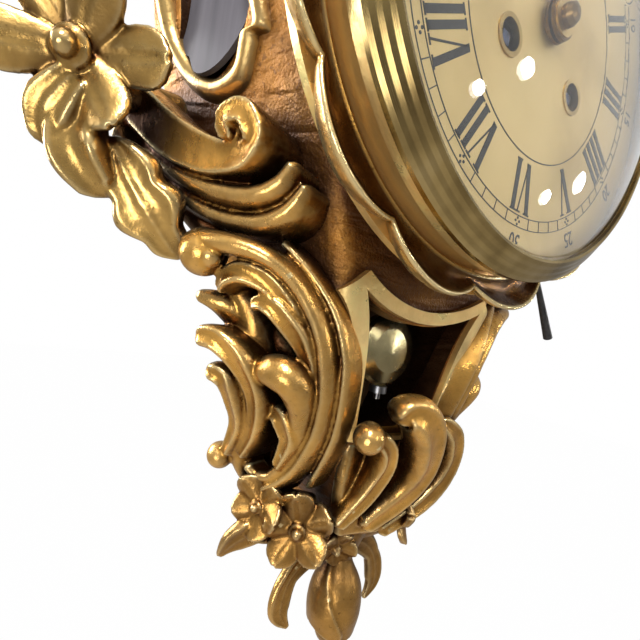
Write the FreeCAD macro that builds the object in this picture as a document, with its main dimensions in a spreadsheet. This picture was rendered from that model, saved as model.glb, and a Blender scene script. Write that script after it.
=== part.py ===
import FreeCAD, Part
import math
import os
import re
import Sketcher
from FreeCAD import Placement, Rotation, Vector

# Gilt carved wall clock. X is to the right as one faces the dial, Y goes into the wall, Z is up.
# The wall plane is Y = 0 and the origin is the centre of the hook hole in the hanger plate.
# Heights called "up" are measured from the dial's centre, and "out" is the distance from the wall.

doc = FreeCAD.newDocument("WallClock")
sheet = doc.addObject("Spreadsheet::Sheet", "Sizes")

SIZES = {
    # carved case: at each level, its height, half width in front, half width at the wall, depth
    "hang_rise": 110, "case_wall": 8, "case_corner": 9, "case_top": 10, "case_floor": 14,
    "crown_up": 128, "crown_front": 40, "crown_back": 58, "crown_out": 62,
    "brow_up": 100, "brow_front": 60, "brow_back": 84, "brow_out": 69,
    "shoulder_up": 55, "shoulder_front": 75, "shoulder_back": 102, "shoulder_out": 72,
    "dial_up": 0, "dial_front": 75, "dial_back": 104, "dial_out": 72,
    "waist_up": -50, "waist_front": 58, "waist_back": 86, "waist_out": 69.5,
    "window_up": -94, "window_front": 41, "window_back": 64, "window_out": 63.3,
    "apron_up": -130, "apron_front": 30, "apron_back": 46, "apron_out": 58.2,
    "toe_up": -165, "toe_front": 19, "toe_back": 30, "toe_out": 53.2,
    "tip_up": -196, "tip_front": 11, "tip_back": 18, "tip_out": 49,
    "back_board_thick": 6, "back_board_gap": 0.4,
    # wall hanger
    "hanger_wide": 44, "hanger_high": 14, "hanger_thick": 2, "hanger_hole": 4, "hook_room": 6.5,
    "hanger_screw_reach": 16, "screw_head": 2.8, "screw_shank": 1.5, "screw_deep": 9,
    # drum, dial and bezel
    "face_out": 95, "dial_radius": 77.5, "dial_thick": 1.6, "dial_gap": 0.3,
    "drum_radius": 82, "drum_neck": 79, "drum_lip": 3, "drum_flange": 88, "drum_flange_thick": 3,
    "drum_ledge": 55, "case_hole": 57, "rim_seat_out": 80, "rim_high": 8.5, "rim_gap": 1.3,
    "rim_valley": 86, "rim_swell": 7.5, "rim_lobes": 12,
    "bezel_radius": 82.6, "bezel_lip": 75.2, "bezel_seat": 76.9, "bezel_rise": 7.2, "bezel_gap": 0.4,
    "bezel_reeds": 3, "glass_thick": 2, "glass_rise": 14.5, "glass_gap": 0.2,
    "hinge_x": 86.2, "hinge_back": 1, "knuckle_radius": 2.2, "pin_radius": 1,
    "running_gap": 0.05, "knuckle_half": 5, "hinge_half": 11, "knuckle_gap": 0.2,
    # hands
    "hand_thick": 0.9, "hour_reach": 41, "minute_reach": 59, "hub_radius": 6.4, "hour_seat": 1.3,
    "minute_seat": 3.1, "washer_radius": 5.6, "washer_thick": 0.6, "nut_radius": 3.5, "nut_high": 3.4,
    # movement
    "plate_thick": 2, "front_plate_out": 82, "rear_plate_out": 55, "front_plate_radius": 62,
    "rear_plate_radius": 52, "pillar_reach": 47, "pillar_radius": 2.8, "winding_x": 20,
    "winding_up": -14.3, "winding_hole": 5.2, "grommet_wall": 0.7, "square_side": 3.6,
    "barrel_radius": 15.5, "barrel_wall": 1.2, "barrel_core": 2.5, "pivot_radius": 0.6,
    "arbor_radius": 0.85, "cannon_radius": 2, "hour_pipe": 3, "wheel_thick": 1.4,
    "great_teeth": 72, "great_module": 0.5, "pinion_teeth": 12, "middle_teeth": 66,
    "middle_module": 0.5, "centre_pinion_teeth": 10, "centre_teeth": 96, "centre_module": 0.35,
    "third_pinion_teeth": 8, "third_teeth": 100, "third_module": 0.3, "escape_pinion_teeth": 8,
    "escape_teeth": 30, "escape_radius": 11, "pallet_gap": 1.2, "cannon_teeth": 16,
    "minute_wheel_teeth": 48, "minute_module": 0.35, "minute_pinion_teeth": 14, "hour_teeth": 56,
    "ratchet_teeth": 24, "ratchet_radius": 7, "click_gap": 0.4, "pin_wheel_teeth": 64,
    "pin_wheel_module": 0.4, "fly_teeth": 8, "fly_radius": 7, "hammer_x": -42.5, "hammer_up": 10,
    "hammer_reach": 42, "hammer_out": 29, "hammer_head": 4, "gong_radius": 1.2, "gong_x": -33,
    "gong_top": 24, "gong_long": 94, "strike_gap": 1.2,
    # pendulum
    "pendulum_out": 45.5, "swing_up": 43.5, "rod_radius": 1.5, "bob_drop": 158.5, "bob_radius": 16,
    "bob_thick": 10, "bob_edge": 3, "rating_nut_radius": 4, "rating_nut_high": 3, "spring_thick": 0.4,
    # strike lever
    "lever_angle": -52, "lever_pivot": 51, "lever_out": 75, "lever_thick": 2, "lever_wide": 3,
    "lever_grip": 89, "lever_end": 124, "grip_thin": 1, "grip_thick": 2, "lever_swing": 6,
}
for row, (name, value) in enumerate(SIZES.items(), start=1):
    sheet.set(f"A{row}", name)
    sheet.set(f"B{row}", str(value))
    sheet.setAlias(f"B{row}", name)
doc.recompute()

PARTS = []


def num(text):
    """The value of a number, or of a formula in the sheet's names."""
    return float(sheet.evalExpression(str(text)))


def tie(text):
    """The same formula as another object's expression reads it."""
    return re.sub(r"[a-z_]+", lambda word: "Sizes." + word[0] if word[0] in SIZES else word[0], str(text))


def bind(item, prop, text):
    item.setExpression(prop, tie(text))


def place(item, x="0", out="0", up="0"):
    """Stands an object at a place given from the dial's centre and the wall."""
    bind(item, "Placement.Base.x", x)
    bind(item, "Placement.Base.y", f"-({out})")
    bind(item, "Placement.Base.z", f"{up} - hang_rise")
    return item


def keep(item, name):
    """Names an object as one of the clock's pieces."""
    item.Label = name
    PARTS.append(item)
    return item


def carve(name, shape):
    """A piece whose shape is worked out in the dial's frame."""
    item = doc.addObject("Part::Feature", name)
    item.Shape = shape
    place(item)
    return keep(item, name)


# Sketches whose corners and circles are tied to the sheet

def new_body(name, plane):
    body = doc.addObject("PartDesign::Body", name)
    sketch = body.newObject("Sketcher::SketchObject", name + "_sketch")
    origin = [face for face in body.Origin.OriginFeatures if face.Role == plane]
    sketch.AttachmentSupport = [(origin[0], "")]
    sketch.MapMode = "FlatFace"
    return body, sketch


def pin_point(sketch, edge, end, across, along):
    for kind, text in (("DistanceX", across), ("DistanceY", along)):
        index = sketch.addConstraint(Sketcher.Constraint(kind, -1, 1, edge, end, num(text)))
        bind(sketch, f"Constraints[{index}]", text)


def draw_outline(sketch, corners):
    first = sketch.GeometryCount
    spots = [Vector(num(a), num(b), 0) for a, b in corners]
    count = len(spots)
    for i in range(count):
        sketch.addGeometry(Part.LineSegment(spots[i], spots[(i + 1) % count]), False)
    for i in range(count):
        sketch.addConstraint(Sketcher.Constraint("Coincident", first + i, 2, first + (i + 1) % count, 1))
    for i, (across, along) in enumerate(corners):
        pin_point(sketch, first + i, 1, across, along)


def draw_circle(sketch, across, along, radius):
    centre = Vector(num(across), num(along), 0)
    edge = sketch.addGeometry(Part.Circle(centre, Vector(0, 0, 1), num(radius)), False)
    pin_point(sketch, edge, 3, across, along)
    index = sketch.addConstraint(Sketcher.Constraint("Radius", edge, num(radius)))
    bind(sketch, f"Constraints[{index}]", radius)


def turned(name, profile, x="0", up="0"):
    """A lathe-turned piece: corners of (radius, out) spun about an axis square to the wall."""
    body, sketch = new_body(name, "XY_Plane")
    draw_outline(sketch, [(radius, f"-({out})") for radius, out in profile])
    spin = body.newObject("PartDesign::Revolution", name + "_spin")
    spin.Profile = sketch
    spin.ReferenceAxis = (sketch, ["V_Axis"])
    spin.Angle = 360
    return place(body, x=x, up=up)


def plate(name, out, thick, corners=(), circles=(), x="0", up="0"):
    """A flat piece parallel to the wall, padded outward from its back face."""
    body, sketch = new_body(name, "XZ_Plane")
    if corners:
        draw_outline(sketch, corners)
    for circle in circles:
        draw_circle(sketch, *circle)
    pad = body.newObject("PartDesign::Pad", name + "_pad")
    pad.Profile = sketch
    bind(pad, "Length", thick)
    return place(body, x=x, out=out, up=up)


def rod(name, radius, out_from, out_to, x="0", up="0"):
    """A round rod square to the wall."""
    item = doc.addObject("Part::Cylinder", name)
    item.Placement = Placement(Vector(), Rotation(Vector(1, 0, 0), 90))
    bind(item, "Radius", radius)
    bind(item, "Height", f"({out_to}) - ({out_from})")
    return place(item, x=x, out=out_from, up=up)


def upright(name, radius, low, high, x="0", out="0"):
    """A round rod that stands upright."""
    item = doc.addObject("Part::Cylinder", name)
    bind(item, "Radius", radius)
    bind(item, "Height", f"({high}) - ({low})")
    return place(item, x=x, out=out, up=low)


def block(name, x_from, x_to, out_from, out_to, low, high):
    """A rectangular block."""
    item = doc.addObject("Part::Box", name)
    bind(item, "Length", f"({x_to}) - ({x_from})")
    bind(item, "Width", f"({out_to}) - ({out_from})")
    bind(item, "Height", f"({high}) - ({low})")
    return place(item, x=x_from, out=out_to, up=low)


def join(name, items):
    item = doc.addObject("Part::MultiFuse", name)
    item.Shapes = items
    return item


def cut(name, base, tools):
    item = doc.addObject("Part::Cut", name)
    item.Base = base
    item.Tool = tools[0] if len(tools) == 1 else join(name + "_tools", tools)
    return item


def group(name, items):
    """Alike pieces that share one node and stay separate solids."""
    item = doc.addObject("Part::Compound", name)
    item.Links = items
    return keep(item, name)


def mirror(name, source):
    item = doc.addObject("Part::Mirroring", name)
    item.Source = source
    item.Normal = Vector(1, 0, 0)
    return keep(item, name)


# The case's surface, which carries every ornament

LEVELS = ("crown", "brow", "shoulder", "dial", "waist", "window", "apron", "toe", "tip")


def section(up):
    """Half width in front, half width at the wall and depth of the case at a height."""
    rows = [[num(f"{level}_{part}") for part in ("up", "front", "back", "out")] for level in LEVELS]
    for upper, lower in zip(rows, rows[1:]):
        if up >= lower[0] or lower is rows[-1]:
            share = (up - lower[0]) / (upper[0] - lower[0])
            return [low + share * (high - low) for high, low in zip(upper[1:], lower[1:])]


def on_flank(back, up, proud):
    """A spot on the left flank: behind its front corner, at a height, proud of the surface."""
    front_half, back_half, out = section(up)
    along = Vector(front_half - back_half, out, 0).normalize()
    outward = Vector(-along.y, along.x, 0)
    return Vector(-front_half, -out, up) + along * back + outward * proud, outward


def on_front(across, up, proud):
    """A spot on the front: beside the middle, at a height, proud of the surface."""
    return Vector(across, -section(up)[2] - proud, up), Vector(0, -1, 0)


def on_top(across, rise, out):
    """A spot over the case's top: beside the middle, above the top, out from the wall."""
    return Vector(across, -out, num("crown_up") + rise), Vector(0, -1, 0)


def oval(centre, across, over, wide, thick):
    """A smooth closed ring round a carved finger."""
    turns = [math.radians(45 * k) for k in range(8)]
    spots = [centre + across * (wide / 2 * math.cos(t)) + over * (thick / 2 * math.sin(t)) for t in turns]
    curve = Part.BSplineCurve()
    curve.interpolate(spots, PeriodicFlag=True)
    return Part.Wire(curve.toShape())


def finger(on, path):
    """A carved rib or leaf: ovals along a smooth line, each step (place, place, place, wide, thick)."""
    spots = [on(*step[:3]) for step in path]
    knots = [0]
    for (before, _), (here, _) in zip(spots, spots[1:]):
        knots.append(knots[-1] + (here - before).Length)
    line = Part.BSplineCurve()
    line.interpolate(Points=[centre for centre, outward in spots], Parameters=knots)
    chord = (spots[-1][0] - spots[0][0]).normalize()
    stands = abs(chord.dot(spots[0][1])) > 0.8
    lengths, heading = [[]], None
    for (centre, outward), at, (_, _, _, wide, thick) in zip(spots, knots, path):
        tangent = line.tangent(at)[0]
        across = tangent.cross(Vector(0, 0, 1) if stands else outward).normalize()
        bend = max(line.curvature(at), 0.01)
        ring = oval(centre, across, across.cross(tangent).normalize(), min(wide, 1.7 / bend), thick)
        heading = heading or tangent
        lengths[-1].append(ring)
        if heading.dot(tangent) < 0.8 and at < knots[-1]:
            lengths.append([ring])
            heading = tangent
    return whole([Part.makeLoft(rings, True, False) for rings in lengths])


def ball(on, place_a, place_b, place_c, radius):
    return Part.makeSphere(radius, on(place_a, place_b, place_c)[0])


def blossom(centre, facing, petals, reach, wide, thick, turn):
    """An open flower: petals that rise outward from a button."""
    facing = Vector(facing).normalize()
    side = facing.cross(Vector(0, 0, 1)).normalize()
    upward = side.cross(facing)
    pieces = [Part.makeSphere(reach * 0.24, centre + facing * (reach * 0.12))]
    for k in range(petals):
        angle = math.radians(turn + 360 * k / petals)
        spoke = side * math.cos(angle) + upward * math.sin(angle)
        steps = ((0.08, 0.0, 0.5), (0.45, 0.12, 0.9), (0.8, 0.3, 1.0), (1.0, 0.34, 0.45))
        ovals = []
        for share, lift, swell in steps:
            spot = centre + spoke * (reach * share) + facing * (reach * lift)
            across = spoke.cross(facing).normalize()
            slope = (spoke + facing * 0.3).normalize()
            ovals.append(oval(spot, across, across.cross(slope), wide * swell, thick * (1.2 - 0.5 * share)))
        pieces.append(Part.makeLoft(ovals, True, False))
    return pieces


def whole(pieces):
    """Everything carved or turned from one piece of stuff."""
    shape = pieces[0]
    for piece in pieces[1:]:
        shape = shape.fuse(piece)
    return shape


def seated(shape, against):
    """The shape with its back scribed to what it is glued against."""
    for other in against:
        if shape.BoundBox.intersect(other.BoundBox):
            shape = shape.cut(other)
    return max(shape.Solids, key=lambda solid: solid.Volume)


def rounded_section(up, front_half, back_half, out, behind, corner):
    """One level of the case: straight back and flanks, rounded front corners."""
    spots = [Vector(-back_half, behind, up), Vector(-front_half, -out, up)]
    spots += [Vector(front_half, -out, up), Vector(back_half, behind, up)]
    edges = []
    start = spots[0]
    for before, here, after in ((0, 1, 2), (1, 2, 3)):
        arrive = (spots[here] - spots[before]).normalize()
        leave = (spots[after] - spots[here]).normalize()
        turn = arrive.getAngle(leave)
        run = corner * math.tan(turn / 2)
        enter, exit_spot = spots[here] - arrive * run, spots[here] + leave * run
        inward = (leave - arrive).normalize()
        middle = spots[here] + inward * (corner / math.cos(turn / 2) - corner)
        edges += [Part.makeLine(start, enter), Part.Arc(enter, middle, exit_spot).toShape()]
        start = exit_spot
    edges += [Part.makeLine(start, spots[3]), Part.makeLine(spots[3], spots[0])]
    return Part.Wire(edges)


def case_loft(inset, behind, top_drop, floor_lift):
    """The case's outline, or its hollow, lofted through all levels."""
    wires = []
    for level in LEVELS:
        up, front, back, out = (num(f"{level}_{part}") for part in ("up", "front", "back", "out"))
        up -= top_drop if level == LEVELS[0] else 0
        up += floor_lift if level == LEVELS[-1] else 0
        corner = min(num("case_corner"), front - inset) * 0.9
        wires.append(rounded_section(up, front - inset, back - inset, out - inset, behind, corner))
    return Part.makeLoft(wires, True, False)


case_block = case_loft(0, 0, 0, 0)
case_hollow = case_loft(num("case_wall"), 1, num("case_top"), num("case_floor"))


def prism(wire, out_from, out_to):
    """A wire drawn on the wall plane, run out from one distance to another."""
    face = Part.Face(wire)
    face.translate(Vector(0, -out_from, 0))
    return face.extrude(Vector(0, out_from - out_to, 0))


def arc_edge(a, b, c):
    return Part.Arc(a, b, c).toShape()


def curve_edge(spots):
    curve = Part.BSplineCurve()
    curve.interpolate(spots)
    return curve.toShape()


def window_wire(spread, drop):
    """The pendulum window's outline: hollow sides and a top that follows the dial's round."""
    top, foot = -93 + spread, -150 - spread + drop
    left = [(-33 - spread, top), (-27 - spread, -108), (-23.5 - spread, -126), (-20 - spread, foot)]
    side = [Vector(x, 0, up) for x, up in left]
    other = [Vector(-spot.x, 0, spot.z) for spot in reversed(side)]
    sag = Vector(0, 0, top - 8.5)
    edges = [curve_edge(side), Part.makeLine(side[-1], other[0]), curve_edge(other)]
    edges.append(arc_edge(other[-1], sag, side[0]))
    return Part.Wire(edges)


def cartouche_wire(spread):
    """The side window's outline, drawn flat: a tall rounded cartouche with an ear at each front corner."""
    lobe = [(0, 31.8 + spread), (8.5 + 0.6 * spread, 29.8 + 0.8 * spread),
            (12.2 + spread, 24.5 + 0.3 * spread)]
    ear = [(13.5 + spread, 22.6 + 0.2 * spread), (18.6 + spread, 21 + 0.3 * spread), (18 + spread, 13)]
    rear = [(-20 - spread, 13), (-15.6 - 0.8 * spread, 22.2 + 0.6 * spread),
            (-9 - 0.4 * spread, 28.6 + 0.9 * spread)]
    upper = rear + lobe + ear
    spots = [(-20.6 - spread, 0)] + upper + [(17.3 + spread, 0)]
    spots += [(x, -y) for x, y in reversed(upper)]
    curve = Part.BSplineCurve()
    curve.interpolate([Vector(x, y, 0) for x, y in spots], PeriodicFlag=True)
    return Part.Wire(curve.toShape())


SIDE_BACK, SIDE_UP = 44.5, 2


def on_side(shape, sunk):
    """Stands a flat shape on the left flank, its face outward and its x towards the front."""
    spot, outward = on_flank(SIDE_BACK, SIDE_UP, -sunk)
    forward = Vector(outward.y, -outward.x, 0)
    turn = Rotation(forward, Vector(0, 0, 1), outward, "ZXY")
    moved = shape.copy()
    moved.Placement = Placement(spot, turn)
    return moved


def flat_solid(wire, thick):
    return Part.Face(wire).extrude(Vector(0, 0, thick))


def reflected(shape):
    return shape.mirror(Vector(), Vector(1, 0, 0))


# Case body with its windows and the round hole for the movement

side_hole = on_side(flat_solid(cartouche_wire(-1), 40), 20)
window_hole = prism(window_wire(-1, 0), num("apron_out") - 30, num("dial_out") + 10)
dial_hole = Part.makeCylinder(num("case_hole"), num("dial_out"), Vector(0, -num("back_board_thick") - 4, 0),
                              Vector(0, -1, 0))
case_shape = case_block.cut(case_hollow)
for opening in (dial_hole, window_hole, side_hole, reflected(side_hole)):
    case_shape = case_shape.cut(opening)
case_shell = carve("case_shell", case_shape)


def back_board_shape():
    """Flat board let into the open back, with room for the hook's head."""
    inset = num("case_wall + back_board_gap")
    left = []
    for level in LEVELS:
        up = num(f"{level}_up")
        up -= num("case_top + back_board_gap") if level == LEVELS[0] else 0
        up += num("case_floor + back_board_gap") if level == LEVELS[-1] else 0
        left.append(Vector(-num(f"{level}_back") + inset + 1, 0, up))
    right = [Vector(-spot.x, 0, spot.z) for spot in reversed(left)]
    edges = [curve_edge(left), Part.makeLine(left[-1], right[0]), curve_edge(right)]
    edges.append(Part.makeLine(right[-1], left[0]))
    front = num("hanger_thick + back_board_thick")
    board = prism(Part.Wire(edges), num("hanger_thick"), front)
    room = Part.makeCylinder(num("hook_room"), front, Vector(0, 0, num("hang_rise")), Vector(0, -1, 0))
    board = board.common(case_hollow).cut(room)
    for side in (-1, 1):
        spot = Vector(side * num("hanger_screw_reach"), 0, num("hang_rise"))
        board = board.cut(Part.makeCylinder(num("screw_shank"), num("screw_deep"), spot, Vector(0, -1, 0)))
    return board


back_board = carve("back_board", back_board_shape())

# Wall hanger: a steel plate on the back of the board, flush with the wall, and its screws
hanger_half = "hanger_wide / 2"
hanger_corners = [(f"{sx}{hanger_half}", f"{sz}hanger_high / 2")
                  for sx, sz in (("-", "-"), ("", "-"), ("", ""), ("-", ""))]
hanger_holes = [("0", "0", "hanger_hole")]
hanger_holes += [(f"{side}hanger_screw_reach", "0", "screw_shank") for side in ("-", "")]
keep(plate("hanger_plate", "0", "hanger_thick", hanger_corners, hanger_holes, up="hang_rise"), "hanger_plate")
group("hanger_screws", [
    rod(f"hanger_screw_{side}", "screw_shank", "0", "screw_deep", x=f"{sign}hanger_screw_reach",
        up="hang_rise")
    for side, sign in (("left", "-"), ("right", ""))])

# Round wooden drum that carries the dial, scribed to the case's front
drum_profile = [
    ("drum_ledge", "rear_plate_out"), ("dial_front - 5", "rear_plate_out"),
    ("drum_flange", "rim_seat_out - drum_flange_thick"), ("drum_flange", "rim_seat_out"),
    ("drum_neck", "rim_seat_out"), ("drum_neck", "face_out - 2 * drum_lip"),
    ("drum_radius", "face_out - drum_lip"), ("drum_radius", "face_out"),
    ("dial_radius + dial_gap", "face_out"), ("dial_radius + dial_gap", "face_out - dial_thick"),
    ("front_plate_radius + dial_gap", "face_out - dial_thick"),
    ("front_plate_radius + dial_gap", "front_plate_out"), ("drum_ledge", "front_plate_out")]
drum_blank = turned("drum_blank", drum_profile)
doc.recompute()
drum_shape = drum_blank.Shape.copy()
drum_shape.translate(Vector(0, 0, num("hang_rise")))


def along_lever(shape):
    """Turns a shape drawn along +X so that it lies along the strike lever."""
    moved = shape.copy()
    moved.rotate(Vector(), Vector(0, -1, 0), num("lever_angle"))
    return moved


slot_half = num("lever_wide / 2 + 1.5") + (num("drum_flange") - num("lever_pivot")) * math.sin(
    math.radians(num("lever_swing")))
slot_out = num("lever_out - 1")
lever_slot = along_lever(Part.makeBox(60, num("lever_thick + 2"), 2 * slot_half,
                                      Vector(num("drum_ledge - 8"), -slot_out - num("lever_thick + 2"),
                                             -slot_half)))
drum_shape = drum_shape.cut(lever_slot)
drum_solid = seated(drum_shape, [case_block])
dial_drum = carve("dial_drum", drum_solid)


def leaf_rim_shape():
    """Carved ring with a lobed edge, standing round the drum's neck."""
    lobes, valley, swell = int(num("rim_lobes")), num("rim_valley"), num("rim_swell")
    steps = lobes * 6
    spots = []
    for k in range(steps):
        angle = 2 * math.pi * k / steps
        radius = valley + swell * abs(math.sin(lobes * angle / 2)) ** 0.8
        spots.append(Vector(radius * math.cos(angle), 0, radius * math.sin(angle)))
    curve = Part.BSplineCurve()
    curve.interpolate(spots, PeriodicFlag=True)
    seat, top = num("rim_seat_out"), num("rim_seat_out + rim_high")
    ring = prism(Part.Wire(curve.toShape()), seat, top)
    inner = num("drum_neck + rim_gap")
    bore = Part.makeCylinder(inner, num("face_out"), Vector(), Vector(0, -1, 0))
    dish = Part.makeCone(inner, valley + 2, top - seat - 2, Vector(0, -seat - 2.5, 0), Vector(0, -1, 0))
    return ring.cut(bore).cut(dish)


carve("leaf_rim", leaf_rim_shape())

# Side windows: gilt frame strips and their glasses, one on each flank
strip_deep = num("case_wall") + 4
side_strip = flat_solid(cartouche_wire(8.5), strip_deep).cut(flat_solid(cartouche_wire(-1), strip_deep))
side_frame = seated(on_side(side_strip, 5), [case_block])
side_glass = on_side(flat_solid(cartouche_wire(-1.3), 2), 6)
carve("side_window_frames", Part.makeCompound([side_frame, reflected(side_frame)]))
carve("side_glasses", Part.makeCompound([side_glass, reflected(side_glass)]))


def window_frame_shape():
    """Gilt strip round the pendulum window, its horns at the upper corners, standing proud."""
    horn = [Vector(-42, 0, -95), Vector(-33.5, 0, -86.5)]
    stile = [Vector(-42, 0, -95), Vector(-33, 0, -110), Vector(-28.5, 0, -126), Vector(-25, 0, -151)]
    far = [Vector(-spot.x, 0, spot.z) for spot in reversed(stile)]
    edges = [Part.makeLine(horn[1], horn[0]), curve_edge(stile), Part.makeLine(stile[-1], far[0])]
    edges += [curve_edge(far), Part.makeLine(far[-1], Vector(33.5, 0, -86.5))]
    edges.append(arc_edge(Vector(33.5, 0, -86.5), Vector(0, 0, -96.5), Vector(-33.5, 0, -86.5)))
    strip = prism(Part.Wire(edges), num("apron_out") - 20, num("waist_out") + 12)
    strip = strip.cut(prism(window_wire(0, 1), 0, num("face_out")))
    proud = case_block.copy()
    proud.translate(Vector(0, -3, 0))
    return strip.common(proud)


window_frame = seated(window_frame_shape(), [case_block])
carve("pendulum_window_frame", window_frame)

# Upper scroll under the side window: a broad band ending in a volute, over a double moulding
upper_pieces = [
    finger(on_flank, [(72, -38, 15, 13, 14), (63, -45.5, 17, 14, 16), (51, -54.5, 16.5, 14, 17),
                      (38, -60, 14, 14, 18), (28, -61, 10, 12, 17), (21, -59, 7, 9, 14)]),
    ball(on_flank, 21.5, -57, 7.5, 9),
    finger(on_flank, [(71, -51.5, 14, 8, 22), (52, -66, 14, 9, 24), (35, -72.5, 12, 9, 22),
                      (20, -73.5, 9, 9, 18), (9.5, -66.5, 5, 7, 12)]),
    finger(on_flank, [(62, -66, 14, 7, 22), (49, -73, 14, 8, 24), (35, -79, 12, 8, 22),
                      (21, -81, 9, 8, 18), (8, -73, 5, 6, 12)]),
    finger(on_flank, [(63, -44, 3, 20, 18), (46, -60, 3, 26, 19), (30, -69, 2, 24, 17),
                      (17, -70, 0, 16, 12)])]
upper_solid = seated(whole(upper_pieces), [case_block, drum_solid])
upper_scroll_left = carve("upper_scroll_left", upper_solid)
mirror("upper_scroll_right", upper_scroll_left)

# Lower scroll: a big C-scroll along the front corner with acanthus leaves inside it
lower_pieces = [
    finger(on_flank, [(41, -87, 23, 9, 11), (33, -83, 19, 8, 10), (24, -84, 14, 7.5, 11),
                      (14, -91, 10, 8, 12), (8, -98, 7, 8, 11), (2, -109, 5, 8, 10), (-1, -120, 4, 8, 10),
                      (-1, -132, 4, 8, 10), (1, -144, 5, 8, 11), (7, -157, 8, 7.5, 12), (16, -169, 13, 7, 13),
                      (26, -181, 21, 5, 10)]),
    ball(on_flank, 43, -91, 25, 8.5), ball(on_flank, 41, -101, 24, 5), ball(on_flank, 38, -167, 30, 5.5),
    finger(on_flank, [(16, -82, 10, 4, 8), (5, -90, 6, 4, 8), (-1, -101, 4, 4, 7), (-3, -112, 3, 4, 7),
                      (-3, -130, 3, 4, 7), (1, -151, 5, 4, 8), (6, -170, 9, 3.5, 8)]),
    finger(on_flank, [(36, -97, 23, 5, 6), (26, -94, 16, 9, 9), (15, -101, 11, 8, 9), (7, -114, 9, 4, 6)]),
    finger(on_flank, [(26, -103, 19, 5, 6), (17, -103, 14, 9, 8), (8, -114, 10, 8, 8), (4, -130, 8, 3, 5)]),
    finger(on_flank, [(47, -106, 29, 4, 5), (38, -107, 25, 10, 9), (28, -115, 19, 14, 14),
                      (20, -126, 14, 14, 16)]),
    finger(on_flank, [(47, -119, 31, 4, 4), (38, -118, 27, 9, 7), (28, -124, 21, 11, 9),
                      (23, -136, 19, 10, 10),
                      (25, -150, 20, 8, 10), (30, -164, 24, 4, 7)]),
    finger(on_flank, [(42, -132, 28, 5, 5), (34, -139, 24, 9, 8), (30, -150, 22, 10, 10),
                      (36, -165, 29, 5, 6)]),
    finger(on_flank, [(26, -127, 20, 5, 5), (20, -122, 17, 10, 8), (11, -127, 12, 11, 9),
                      (6, -138, 10, 10, 9),
                      (8, -153, 11, 8, 9), (18, -172, 19, 4, 7)]),
    finger(on_flank, [(18, -141, 17, 5, 6), (12, -148, 14, 7, 8), (14, -160, 16, 7, 8),
                      (24, -171, 23, 4, 6)]),
    finger(on_flank, [(18, -92, 4, 18, 12), (18, -108, 7, 30, 20), (18, -125, 8, 34, 26),
                      (18, -145, 9, 30, 28),
                      (20, -163, 12, 22, 28), (22, -176, 16, 10, 16)])]
lower_solid = seated(whole(lower_pieces), [case_block, upper_solid, window_frame])
lower_scroll_left = carve("lower_scroll_left", lower_solid)
mirror("lower_scroll_right", lower_scroll_left)

# Flower spray at the shoulder: open flower, bud and leaf on a stem from the scroll's end
flower_spot = on_flank(60, -41, 44)[0]
spray_pieces = blossom(flower_spot, Vector(-0.45, -0.85, -0.3), 6, 24, 18, 5, 20)
spray_pieces += [
    finger(on_flank, [(66, -40, 8, 16, 14), (65, -42, 24, 12, 12), (62, -41, 40, 9, 9), (61, -41, 45, 6, 6)]),
    finger(on_flank, [(60, -46, 38, 10, 9), (65, -58, 45, 12, 11), (65, -67, 47, 18, 16),
                      (63, -76, 45, 13, 12)]),
    finger(on_flank, [(61.5, -64, 43, 9, 8), (57, -72, 40, 18, 8), (53, -80, 36, 19, 8),
                      (52, -89, 31, 5, 5)]),
    finger(on_flank, [(62, -50, 46, 8, 7), (68, -58, 52, 12, 8), (72, -65, 54, 6, 5)])]
spray_solid = seated(whole(spray_pieces), [case_block, upper_solid, lower_solid])
flower_spray_left = carve("flower_spray_left", spray_solid)
mirror("flower_spray_right", flower_spray_left)

# Apron: acanthus fingers that grow from the foot of the case and curl over the window's sill
apron_pieces = [
    finger(on_front, [(-14, -192, 4, 6, 8), (-13, -176, 5, 8, 9), (-11, -162, 6, 8, 9),
                      (-13, -150, 7, 8, 9)]),
    Part.makeSphere(6.6, on_front(-18, -146, 8)[0]),
    finger(on_front, [(-8, -196, 3, 8, 8), (0, -181, 5, 11, 10), (9, -164, 7, 13, 11), (9, -149, 9, 14, 11),
                      (3, -138, 10, 13, 9), (-3, -134, 8, 8, 7)]),
    finger(on_front, [(-2, -196, 3, 7, 8), (14, -184, 0, 9, 10), (28, -174, -4, 10, 12),
                      (33, -160, -3, 9, 11),
                      (28, -148, 0, 8, 9), (22, -142, 3, 5, 6)]),
    finger(on_front, [(0, -197, 2, 7, 8), (12, -190, -2, 7, 9), (22, -182, -6, 5, 7)]),
    finger(on_front, [(-2, -194, -2, 26, 12), (0, -176, 0, 38, 12), (2, -160, 1, 44, 11),
                      (2, -152, 1, 44, 9)])]
apron_solid = seated(whole(apron_pieces), [case_block, window_frame, lower_solid, reflected(lower_solid)])
carve("apron_leaves", apron_solid)


# Flowers under the apron, one on each side and a small one between, and the hanging bud
def on_axis(across, up, out):
    """A spot near the foot: beside the middle, at a height, out from the wall."""
    return Vector(across, -out, up), Vector(0, -1, 0)


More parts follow.
